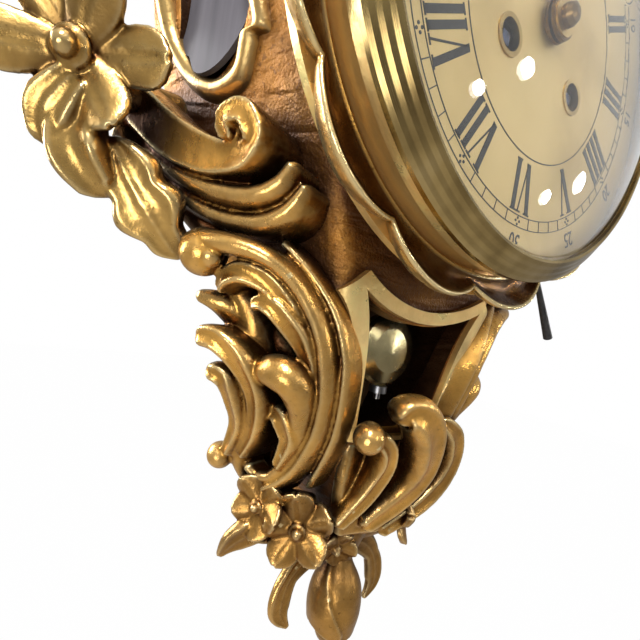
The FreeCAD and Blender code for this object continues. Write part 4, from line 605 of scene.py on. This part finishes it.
strip(scroll, on_flank, [
    (38, -96, 14, 10, 12), (34, -108, 12, 18, 16), (32, -124, 13, 22, 18), (31, -140, 14, 22, 20),
    (33, -154, 17, 18, 20), (36, -166, 22, 12, 14), (34, -176, 22, 8, 10)], ROUND_RIB, root=10)
lower_scroll = finish_mesh("lower_scroll_carved_left", scroll, voxel=0.6, soften=2, roughen=0.1)
fit(lower_scroll, gilt_carving, "lower_scroll_left")
twin(lower_scroll, "lower_scroll_carved_right", "lower_scroll_right")

# Flower sprays: at each shoulder an open six-petalled flower, a bud and leaves on a short stem.
# They are carved apart and dowelled on, and their smooth petals keep the brightest gold.
PETAL_STEPS, PETAL_COLUMNS = 12, 10
gilt_petals = gilding("gilt_petals", gold=(0.62, 0.385, 0.115, 1), clay_and_shade=(0.07, 0.025, 0.006, 1),
                      gloss=0.26, stipple=0.14, patchy=0.45, pale_wear_and_highlight=(0.97, 0.83, 0.47, 1), wear_and_highlight=0.6)


def petal(mesh, centre, facing, spoke, reach, wide, lift, cup, notch, thick):
    """A cupped petal: narrow at the root, broad and notched at its end, rising outward."""
    across = spoke.cross(facing).normalized()
    upper, lower = [], []
    for i in range(PETAL_STEPS + 1):
        s = i / PETAL_STEPS
        grow = math.sin(math.pi / 2 * min(s / 0.68, 1))
        round_end = math.sqrt(max(0.03, 1 - (max(0, s - 0.68) / 0.32) ** 2))
        half = wide / 2 * (0.22 + 0.78 * grow) * round_end
        line, under = [], []
        for j in range(PETAL_COLUMNS + 1):
            u = 2 * j / PETAL_COLUMNS - 1
            far = reach * s * (1 - notch * s * s * math.exp(-(u / 0.3) ** 2))
            vein = 0.05 * reach * math.exp(-(u / 0.16) ** 2) * s
            high = reach * lift * s ** 1.4 + cup * half * u * u - vein
            spot = centre + spoke * far + across * (u * half) + facing * high
            line.append(mesh.verts.new(row(spot)))
            under.append(mesh.verts.new(row(spot - facing * thick * (1.15 - 0.5 * abs(u)))))
        upper.append(line)
        lower.append(under)
    for sheet_rows, way in ((upper, 1), (lower, -1)):
        for a, b in zip(sheet_rows, sheet_rows[1:]):
            for j in range(PETAL_COLUMNS):
                corners = (a[j], a[j + 1], b[j + 1], b[j])
                mesh.faces.new(corners if way > 0 else corners[::-1])
    for i in range(PETAL_STEPS):
        for j in (0, PETAL_COLUMNS):
            mesh.faces.new((upper[i][j], upper[i + 1][j], lower[i + 1][j], lower[i][j]))
    for i in (0, PETAL_STEPS):
        for j in range(PETAL_COLUMNS):
            mesh.faces.new((upper[i][j], upper[i][j + 1], lower[i][j + 1], lower[i][j]))


def flower(mesh, centre, facing, petals, reach, wide, turn, lift=0.3, cup=0.35, notch=0.16, thick=2.6):
    """An open flower: uneven petals, by turns in two layers, round a collar and a button."""
    facing = Vector(facing).normalized()
    side = facing.cross(Vector((0, 0, 1))).normalized()
    upward = side.cross(facing)
    for k in range(petals):
        angle = math.radians(turn + 360 * k / petals)
        spoke = side * math.cos(angle) + upward * math.sin(angle)
        sway = 1 + 0.1 * math.sin(2.4 * k + 1)
        layer = facing * (reach * 0.06 * (k % 2))
        rise = lift * (1 + 0.3 * math.cos(3.1 * k))
        curl = cup * (1 + 0.3 * math.sin(1.7 * k))
        petal(mesh, Vector(centre) - layer, facing, spoke, reach * sway, wide, rise, curl, notch, thick)
    knob(mesh, Vector(centre) + facing * reach * 0.08, reach * 0.23, facing, 0.4)
    knob(mesh, Vector(centre) + facing * reach * 0.17, reach * 0.14)


FLOWER_FACING = Vector((-0.45, -0.85, -0.3)).normalized()


def on_spray(back, up, proud):
    """A spot beside the flank whose face turns forward with the flower."""
    return on_flank(back, up, proud)[0], FLOWER_FACING


spray = bmesh.new()
flower(spray, on_flank(60, -41, 44)[0], FLOWER_FACING, petals=6, reach=25.5, wide=16.5, turn=-5, lift=0.26,
       cup=-0.25, notch=0.1, thick=4.4)
strip(spray, on_flank, [
    (66, -40, 8, 16, 14), (65, -42, 24, 12, 12), (62, -41, 40, 9, 9), (61, -41, 45, 6, 6)], ROUND_RIB)
strip(spray, on_spray, [
    (60, -46, 38, 12, 10), (65, -58, 45, 15, 12), (65, -67, 47, 18, 15),
    (63, -75, 45, 13, 11)], GOUGED, root=3)
strip(spray, on_spray, [
    (59, -62, 38, 12, 8), (56, -71, 37, 22, 9), (53, -80, 35, 25, 9), (51, -88, 32, 15, 7),
    (50, -92, 30, 6, 5)], VEINED, root=3, lobes=3)
strip(spray, on_spray, [(62, -48, 44, 10, 8), (68, -57, 51, 15, 8), (72, -65, 54, 8, 6)], VEINED, root=3)
flower_spray = finish_mesh("flower_spray_carved_left", spray, voxel=0.65, soften=6, roughen=0.1)
fit(flower_spray, gilt_petals, "flower_spray_left")
twin(flower_spray, "flower_spray_carved_right", "flower_spray_right")

# Apron: acanthus fingers that grow from the case's foot and curl forward over the window's sill.
# A broad flat leaf behind them closes the gaps.
BROAD_LEAF = worked_face(0.18, 0.5)


def on_front(across, up, proud):
    """A spot on the front: beside the middle, at a height, proud of the wood."""
    return Vector((across, -case_at(up)[2] - proud, up)), Vector((0, -1, 0))


apron = bmesh.new()
strip(apron, on_front, [
    (-17.6, -185.2, 3, 6, 7), (-9.5, -174, 4, 9, 9), (-5.8, -161.5, 6, 10, 10), (-8.2, -152.6, 8, 9, 10),
    (-14, -147, 9, 7.5, 9)], GOUGED, root=4)
knob(apron, on_front(-19, -146.5, 9)[0], 6.2)
strip(apron, on_front, [
    (-2.3, -188.2, 3, 9, 8), (11.1, -176.6, 5, 13, 10), (15.7, -162.8, 8, 16, 12),
    (10.2, -147.3, 11, 18, 13), (1.6, -138, 12, 17, 13), (-5, -135.5, 11.5, 13, 11),
    (-8, -138, 10, 8, 7)], BROAD_LEAF, root=4)
strip(apron, on_front, [
    (12.4, -196, 0, 7, 7), (30, -187, 0, 10, 10), (41, -177, 0, 12, 11), (43, -163, 2, 12, 11),
    (37, -150, 4, 11, 10), (27, -143, 5, 7, 7)], GOUGED, root=6)
strip(apron, on_front, [
    (42, -186, -1, 4, 5), (33, -189.6, 0, 5, 6), (14.6, -195.9, 1, 5, 6)], ROUND_RIB, root=4)
strip(apron, on_front, [
    (-2, -194, -3, 26, 10), (0, -176, -3, 38, 9), (2, -160, -3, 44, 8), (2, -152, -3, 44, 7)], FLAT_BAND)
fit(finish_mesh("apron_leaves_carved", apron, voxel=0.6, soften=2, roughen=0.1), gilt_carving, "apron_leaves")

# Foot: two open flowers and a leaf on each side, a small flower between them, and below a hanging bell
# bud between two leaves. The bell is rolled from two petals and its plump heart shows below the lip.


def on_axis(across, up, out):
    """A spot near the foot: beside the middle, at a height, out from the wall."""
    return Vector((across, -out, up)), Vector((0, -1, 0))


gilt_foot = gilding("gilt_foot", gold=(0.44, 0.23, 0.055, 1), clay_and_shade=(0.04, 0.012, 0.003, 1),
                    gloss=0.29, stipple=0.22, patchy=0.65, pale_wear_and_highlight=(0.88, 0.68, 0.34, 1), wear_and_highlight=0.6)
foot = bmesh.new()
for way in (-1, 1):
    flower(foot, (way * 31.5, -47, -190), (way * 0.6, -0.75, 0.05), petals=5, reach=15, wide=13.5, turn=80,
           lift=0.25, cup=-0.4, thick=3.8)
    flower(foot, (way * 45, -36, -184), (way * 0.85, -0.5, 0.1), petals=5, reach=12, wide=12, turn=50,
           lift=0.25, cup=-0.4, thick=3.6)
    strip(foot, on_axis, [
        (way * 8, -199, 38, 14, 14), (way * 20, -196, 42, 12, 12), (way * 31, -191, 46, 7, 7)], ROUND_RIB)
    strip(foot, on_axis, [
        (way * 20, -190, 36, 16, 12), (way * 34, -186, 34, 14, 10), (way * 44, -184, 33, 8, 6)], ROUND_RIB)
    strip(foot, on_axis, [
        (way * 12, -199, 37, 9, 9), (way * 28, -196, 36, 11, 7), (way * 42, -195, 33, 15, 7),
        (way * 50, -200, 30, 11, 5), (way * 54, -207, 27, 4, 3)], VEINED, lobes=2)
strip(foot, on_axis, [
    (0, -192, 35, 24, 22), (0, -200, 37, 25, 22), (0, -208, 39, 15, 15), (0, -213, 40, 9, 9)], ROUND_RIB)
flower(foot, (-8, -45, -204), (-0.25, -0.88, -0.4), petals=5, reach=10, wide=9, turn=40, lift=0.25, cup=-0.35,
       notch=0.15, thick=3)
bottom_flowers = finish_mesh("bottom_flowers_carved", foot, voxel=0.55, soften=2, roughen=0.1)
fit(bottom_flowers, gilt_foot, "bottom_flowers")

bud = bmesh.new()
BELL_STEPS, BELL_FALLS, BELL_UP, BELL_OUT = 72, 6, -209, 40
BELL_OUTSIDE = [(4, 0), (6, -5), (11, -14), (12.5, -24), (11.5, -33)]
BELL_INSIDE = [(9.3, -33), (10.2, -24), (7, -15), (0.4, -11)]
bell_side = smooth_line(BELL_OUTSIDE, BELL_FALLS) + smooth_line(BELL_INSIDE, BELL_FALLS)
bell_rings = []
for k in range(BELL_STEPS):
    turn = math.tau * k / BELL_STEPS
    lip = 1.6 * math.cos(2 * turn)
    ring = []
    for r, fall in bell_side:
        wrap = ((turn + fall * 0.045) / math.pi) % 1
        roll = 1 + 0.09 * (wrap - 0.5) * min(1, -fall / 10)
        low = fall + lip * max(0, (-fall - 20) / 13)
        aside, forward = r * roll * math.cos(turn), r * roll * math.sin(turn)
        ring.append(bud.verts.new(row((aside, -BELL_OUT + forward, BELL_UP + low))))
    bell_rings.append(ring)
for ring, after in zip(bell_rings, bell_rings[1:] + bell_rings[:1]):
    for j in range(1, len(ring)):
        bud.faces.new((ring[j - 1], ring[j], after[j], after[j - 1]))
bud.faces.new([ring[0] for ring in bell_rings])
bud.faces.new([ring[-1] for ring in bell_rings][::-1])
strip(bud, on_axis, [(0, -218, 40, 5, 5), (0, -240, 40, 7, 7)], ROUND_RIB)
knob(bud, Vector((0, -40, -245)), 6.9)
for way in (-1, 1):
    strip(bud, on_axis, [
        (way * 3, -209, 36, 8, 8), (way * 14, -210, 35, 12, 6), (way * 24, -219, 35, 12, 5),
        (way * 27, -232, 36, 10, 4), (way * 22, -240, 37, 3, 3)], VEINED, lobes=2)
fit(finish_mesh("pendant_bud_carved", bud, voxel=0.5, soften=2, roughen=0.08), gilt_foot, "pendant_bud")

# Crest and shoulder scrolls: a palmette on top of the case, and beside it a scroll down each shoulder.
# They are above the picture and take up the carving lower down.
scroll = bmesh.new()
strip(scroll, on_flank, [
    (52, 54, 4, 9, 10), (49, 64, 9, 12, 16), (42, 78, 12, 13, 18), (38, 94, 13, 13, 18),
    (36, 108, 12, 12, 16)], GOUGED, root=4)
strip(scroll, on_flank, [
    (48, 60, 14, 3, 4), (52, 67, 18, 9, 7), (48, 79, 19, 10, 9), (44, 92, 17, 6, 7)], VEINED)
knob(scroll, on_flank(53, 54, 8)[0], 8.5)
shoulder_scroll = finish_mesh("shoulder_scroll_carved_left", scroll, voxel=0.8, soften=3, roughen=0.1)
fit(shoulder_scroll, gilt_carving, "shoulder_scroll_left")
twin(shoulder_scroll, "shoulder_scroll_carved_right", "shoulder_scroll_right")
CROWN_UP = 128
PALMETTE = ((0, 108, 52, 19), (-26, 92, 50, 17), (26, 92, 50, 17), (-46, 62, 46, 15), (46, 62, 46, 15))


def on_crown(across, rise, out):
    """A spot over the top of the case: beside the middle, above the wood, out from the wall."""
    return Vector((across, -out, CROWN_UP + rise)), Vector((0, -1, 0))


crest = bmesh.new()
for across, rise, out, wide in PALMETTE:
    strip(crest, on_crown, [
        (across * 0.25, -6, 36, 9, 12), (across * 0.55, rise * 0.35, 40, wide, 11),
        (across * 0.9, rise * 0.72, out - 3, wide * 1.1, 9), (across, rise, out, wide * 0.5, 6)], VEINED)
for way in (-1, 1):
    strip(crest, on_crown, [
        (way * 4, 2, 36, 12, 16), (way * 24, 12, 36, 12, 16), (way * 46, 10, 36, 11, 15),
        (way * 58, -4, 36, 8, 12)], GOUGED)
    knob(crest, Vector((way * 57, -36, CROWN_UP)), 9)
flower(crest, on_crown(0, 18, 42)[0], (0, -1, 0.1), petals=5, reach=17, wide=14, turn=90)
fit(finish_mesh("crest_carved", crest, voxel=0.8, soften=3, roughen=0.1), gilt_carving, "crest")

# Movement: brass plates and wheels on steel arbors, screwed to the drum behind the dial.
# Little of it shows: the pendulum window and the winding holes look in on it.
brass = worked_metal("brass", (0.62, 0.44, 0.16, 1), (0.36, 0.24, 0.08, 1), gloss=0.24, scale=70)
dress(brass, "front_plate", "rear_plate", "plate_pillars", "time_barrel", "strike_barrel",
      "intermediate_wheel", "third_wheel", "escape_wheel", "minute_wheel", "hour_wheel", "strike_pin_wheel",
      "strike_fly", "suspension_cock", "winding_grommets")
blued_steel = worked_metal("blued_steel", (0.07, 0.09, 0.17, 1), (0.02, 0.025, 0.05, 1), gloss=0.16,
                           scale=160)
dress(blued_steel, "time_winding_arbor", "strike_winding_arbor", "mainsprings", "suspension_spring")
dress(steel, "centre_arbor", "movement_screws", "pallet_anchor", "time_click", "strike_click", "hammer",
      "gong_rod", "pendulum_rod", "rating_nut", "hinge_pin")

# Dial: a sheet of pale lacquered brass, brushed in circles round its centre.
# The lacquer has clouded a little with age.


def turned_rings(tree, place, scale):
    """Fine rings round the dial's centre, as a lathe or a brush leaves them."""
    centred = plant(tree, "ShaderNodeMapping", {"Vector": place, "Location": (0, 0, DIAL_DROP * MM)})
    flat = steer(tree, "MULTIPLY", centred.outputs[0], (1, 0, 1))["Vector"]
    inputs = {"W": steer(tree, "LENGTH", flat)["Value"], "Scale": scale, "Detail": 3.0}
    return plant(tree, "ShaderNodeTexNoise", inputs, noise_dimensions="1D").outputs[0]


dial_brass, tree, skin, place = new_finish("dial_brass")
rings = turned_rings(tree, place, 2600.0)
stain = clouds(tree, place, 24.0, 6.0)
lacquer = graded(tree, stain, [(0.32, (0.52, 0.365, 0.135, 1)), (0.5, (0.68, 0.50, 0.21, 1)),
                               (0.7, (0.76, 0.575, 0.26, 1))])
brushed = graded(tree, rings, [(0.3, grey(0.94)), (0.7, WHITE)])
lacquer = plant(tree, "ShaderNodeMix", {0: 1.0, 6: lacquer, 7: brushed}, data_type="RGBA",
                blend_type="MULTIPLY")
wire(tree, skin, {"Base Color": lacquer.outputs[2], "Metallic": 0.35,
                  "Roughness": ranged(tree, stain, 0.34, 0.48), "Normal": bumped(tree, rings, 0.06, 0.0002)})
dress(dial_brass, "dial_plate")

# Printing on the dial: Roman hours with their feet to the centre, a minute track of two lines and
# short bars, four dots at every fifth minute, and the minutes in figures outside it.
black_enamel, tree, skin, place = new_finish("black_enamel")
ink = clouds(tree, place, 900.0, 4.0)
patterned(tree, skin, ink, [(0.35, (0.008, 0.008, 0.009, 1)), (0.7, (0.028, 0.026, 0.024, 1))], (0.35, 0.6),
          (0.1, 0.0001))
FACE_OUT, PRINT_HIGH, PRINT_SUNK = 95.0, 0.14, 0.05
HOURS = ("XII", "I", "II", "III", "IIII", "V", "VI", "VII", "VIII", "IX", "X", "XI")
HOUR_FOOT, HOUR_HEAD, THICK_STROKE, THIN_STROKE = 44.6, 60.4, 2.1, 0.55
LETTER_WIDE = {"I": 3.5, "V": 8.0, "X": 8.4}
TRACK_LINES, TRACK_STEPS = ((42.7, 0.35), (61.6, 0.3), (65.2, 0.3)), 180
MARK_THICK, MARK_OUT = 0.00018, 0.05
FIGURE_SIZE, FIGURE_NARROW, FIGURE_FOOT = 7.6, 0.82, 67.6


def flat_print(mesh, corners, turn):
    """A patch of print with its own small thickness, set round the dial."""
    top, bottom = [], []
    for across, reach in corners:
        x = across * math.cos(turn) + reach * math.sin(turn)
        z = reach * math.cos(turn) - across * math.sin(turn)
        top.append(mesh.verts.new(row((x, -FACE_OUT - PRINT_HIGH, z))))
        bottom.append(mesh.verts.new(row((x, -FACE_OUT + PRINT_SUNK, z))))
    mesh.faces.new(top)
    mesh.faces.new(bottom[::-1])
    for j in range(len(top)):
        mesh.faces.new((top[j - 1], top[j], bottom[j], bottom[j - 1]))


def slanted(mesh, foot, head, width, turn):
    """A stroke of an hour's letter, from its foot to its head."""
    flat_print(mesh, [(foot - width / 2, HOUR_FOOT), (foot + width / 2, HOUR_FOOT),
                      (head + width / 2, HOUR_HEAD), (head - width / 2, HOUR_HEAD)], turn)


def crossbar(mesh, across, reach, long, wide, turn):
    """A straight bar across a ray of the dial."""
    flat_print(mesh, [(across - long / 2, reach - wide / 2), (across + long / 2, reach - wide / 2),
                      (across + long / 2, reach + wide / 2), (across - long / 2, reach + wide / 2)], turn)


def printed(name, mesh):
    """One set of print, finished and fixed to the case with the dial."""
    piece = finish_mesh(name, mesh)
    piece.data.materials.append(black_enamel)
    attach(piece, "case")


hours = bmesh.new()
for hour, letters in enumerate(HOURS):
    turn = math.radians(30 * hour)
    start = -sum(LETTER_WIDE[letter] for letter in letters) / 2
    for letter in letters:
        middle = start + LETTER_WIDE[letter] / 2
        if letter == "I":
            slanted(hours, middle, middle, THICK_STROKE, turn)
            serifs = [(middle, HOUR_FOOT, 2.9), (middle, HOUR_HEAD, 2.9)]
        elif letter == "V":
            slanted(hours, middle + 0.3, middle - 2.5, THICK_STROKE, turn)
            slanted(hours, middle + 0.5, middle + 2.9, THIN_STROKE, turn)
            serifs = [(middle - 2.4, HOUR_HEAD, 3.4), (middle + 2.7, HOUR_HEAD, 2.6)]
        else:
            slanted(hours, middle + 2.6, middle - 2.6, THICK_STROKE, turn)
            slanted(hours, middle - 2.7, middle + 2.7, THIN_STROKE, turn)
            serifs = [(middle + side, reach, 3.0) for side in (-2.6, 2.6) for reach in (HOUR_FOOT, HOUR_HEAD)]
        for across, reach, long in serifs:
            crossbar(hours, across, reach, long, THIN_STROKE, turn)
        start += LETTER_WIDE[letter]
printed("hour_figures", hours)

tracks = bmesh.new()
for reach, line in TRACK_LINES:
    for k in range(TRACK_STEPS):
        turn, after = math.tau * k / TRACK_STEPS, math.tau * (k + 1) / TRACK_STEPS
        half = reach * math.tan((after - turn) / 2)
        crossbar(tracks, 0, reach, 2 * half, line, (turn + after) / 2)
printed("track_lines", tracks)

marks = bpy.data.node_groups.new("minute_marks", "GeometryNodeTree")
mark_sizes = {}
for label, value in (("Minutes", 60), ("Fifths", 12), ("Bar reach", 0.0634), ("Bar long", 0.0034),
                     ("Bar wide", 0.0003), ("Dot size", 0.00045), ("Dot apart", 0.00105)):
    kind = "NodeSocketInt" if isinstance(value, int) else "NodeSocketFloat"
    socket = marks.interface.new_socket(label, in_out="INPUT", socket_type=kind)
    mark_sizes[socket.identifier] = value
marks.interface.new_socket("Geometry", in_out="OUTPUT", socket_type="NodeSocketGeometry")
given = plant(marks, "NodeGroupInput").outputs
index = plant(marks, "GeometryNodeInputIndex").outputs[0]


def spread_round(count):
    """Places round the minute track, and the turn of each."""
    places = plant(marks, "GeometryNodeMeshCircle", {"Vertices": count, "Radius": given["Bar reach"]})
    spin = reckon(marks, "MULTIPLY", index, reckon(marks, "DIVIDE", math.tau, count))
    return places.outputs[0], plant(marks, "ShaderNodeCombineXYZ", {"Z": spin}).outputs[0]


minutes, minute_turn = spread_round(given["Minutes"])
bar_size = plant(marks, "ShaderNodeCombineXYZ",
                 {"X": given["Bar long"], "Y": given["Bar wide"], "Z": MARK_THICK})
bar = plant(marks, "GeometryNodeMeshCube", {"Size": bar_size.outputs[0]})
past_five = reckon(marks, "MODULO", index, 5.0)
between = plant(marks, "FunctionNodeCompare", {0: past_five, 1: 0.5}, data_type="FLOAT",
                operation="GREATER_THAN")
bars = plant(marks, "GeometryNodeInstanceOnPoints",
             {"Points": minutes, "Selection": between.outputs[0], "Instance": bar.outputs[0],
              "Rotation": minute_turn})
fives, five_turn = spread_round(given["Fifths"])
cluster = plant(marks, "GeometryNodeMeshCircle", {"Vertices": 4, "Radius": given["Dot apart"]})
dot = plant(marks, "GeometryNodeMeshCylinder",
            {"Vertices": 12, "Radius": given["Dot size"], "Depth": MARK_THICK})
dots = plant(marks, "GeometryNodeInstanceOnPoints",
             {"Points": cluster.outputs[0], "Instance": dot.outputs[0]})
clusters = plant(marks, "GeometryNodeInstanceOnPoints",
                 {"Points": fives, "Instance": dots.outputs[0], "Rotation": five_turn})
joined = plant(marks, "GeometryNodeJoinGeometry")
marks.links.new(bars.outputs[0], joined.inputs[0])
marks.links.new(clusters.outputs[0], joined.inputs[0])
stood = plant(marks, "GeometryNodeTransform",
              {"Geometry": joined.outputs[0], "Rotation": (math.pi / 2, 0, 0),
               "Translation": (0, -(FACE_OUT + MARK_OUT) * MM, -DIAL_DROP * MM)})
real = plant(marks, "GeometryNodeRealizeInstances", {"Geometry": stood.outputs[0]})
inked = plant(marks, "GeometryNodeSetMaterial", {"Geometry": real.outputs[0], "Material": black_enamel})
plant(marks, "NodeGroupOutput", {"Geometry": inked.outputs[0]})
minute_marks = bpy.data.objects.new("minute_marks", bpy.data.meshes.new("minute_marks_blank"))
scene.collection.objects.link(minute_marks)
maker = minute_marks.modifiers.new("maker", "NODES")
maker.node_group = marks
for socket, value in mark_sizes.items():
    maker[socket] = value
marks_mesh = as_drawn(minute_marks)
minute_marks.modifiers.clear()
minute_marks.data = marks_mesh
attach(minute_marks, "case")

figures = bmesh.new()
for fifth in range(12):
    text = bpy.data.curves.new("figure", "FONT")
    text.body = str(5 * fifth if fifth else 60)
    text.size = FIGURE_SIZE
    text.align_x = "CENTER"
    holder = bpy.data.objects.new("figure", text)
    scene.collection.objects.link(holder)
    drawn = as_drawn(holder)
    bpy.data.objects.remove(holder)
    turn = math.radians(30 * fifth)
    for face in drawn.polygons:
        corners = [drawn.vertices[v].co for v in face.vertices]
        flat_print(figures, [(c.x * FIGURE_NARROW, c.y + FIGURE_FOOT) for c in corners], turn)
    bpy.data.meshes.remove(drawn)
    bpy.data.curves.remove(text)
printed("minute_figures", figures)

# Hands: sawn from dark bronze sheet with round hubs, held by a pale washer and a domed nut.
# The two point up, so only their hubs, the washer and the nut come into the picture.
dark_bronze = worked_metal("dark_bronze", (0.19, 0.12, 0.045, 1), (0.07, 0.042, 0.016, 1), gloss=0.28,
                           scale=140)
dress(dark_bronze, "hour_hand", "minute_hand", "hand_nut")
dress(brass, "hand_washer")

# Bezel: a ring turned from brass with three reeds, hinged on the right, with a domed glass cemented in.
# The grooves between the reeds are darkened nearly to black as painted shade, and the clear glass has a thin
# smeared film.
bezel_brass, tree, skin, place = new_finish("bezel_brass")
turning = turned_rings(tree, place, 5200.0)
tarnish = clouds(tree, place, 55.0, 7.0)
# Painted shade: ambient occlusion darkens the grooves between the reeds nearly to black.
painted_shade_ao = plant(tree, "ShaderNodeAmbientOcclusion", {"Distance": 0.004}, samples=6).outputs["AO"]
metal_tone = graded(tree, tarnish, [(0.3, (0.20, 0.135, 0.05, 1)), (0.55, (0.44, 0.32, 0.13, 1)),
                                    (0.75, (0.60, 0.46, 0.22, 1))])
groove_shade = graded(tree, painted_shade_ao, [(0.35, WHITE), (0.85, BLACK)])
wire(tree, skin, {"Base Color": blended(tree, groove_shade, metal_tone, (0.04, 0.022, 0.007, 1)), "Metallic": 1.0,
                  "Roughness": ranged(tree, tarnish, 0.26, 0.13),
                  "Normal": bumped(tree, turning, 0.12, 0.0002)})
dress(bezel_brass, "bezel_ring", "hinge_plate")

clear_glass, tree, skin, place = new_finish("clear_glass")
smear = clouds(tree, place, 40.0, 5.0)
patterned(tree, skin, smear, [(0.3, (0.97, 0.985, 0.98, 1)), (0.7, WHITE)], (0.0, 0.03), (0.02, 0.001))
wire(tree, skin, {"Transmission Weight": 1.0, "IOR": 1.5})
dress(clear_glass, "dome_glass")

# Pendulum: a heavy brass-faced bob on a steel rod, hung on a spring from the cock.
# The bob swings behind the open window in the lower front.
bob_brass = worked_metal("bob_brass", (0.50, 0.42, 0.22, 1), (0.30, 0.25, 0.13, 1), gloss=0.18, scale=60)
dress(bob_brass, "pendulum_bob")

# Strike lever: a thin black arm that reaches out under the rim on the right.
# It has the same enamel as the dial's printing.
dress(black_enamel, "strike_lever")
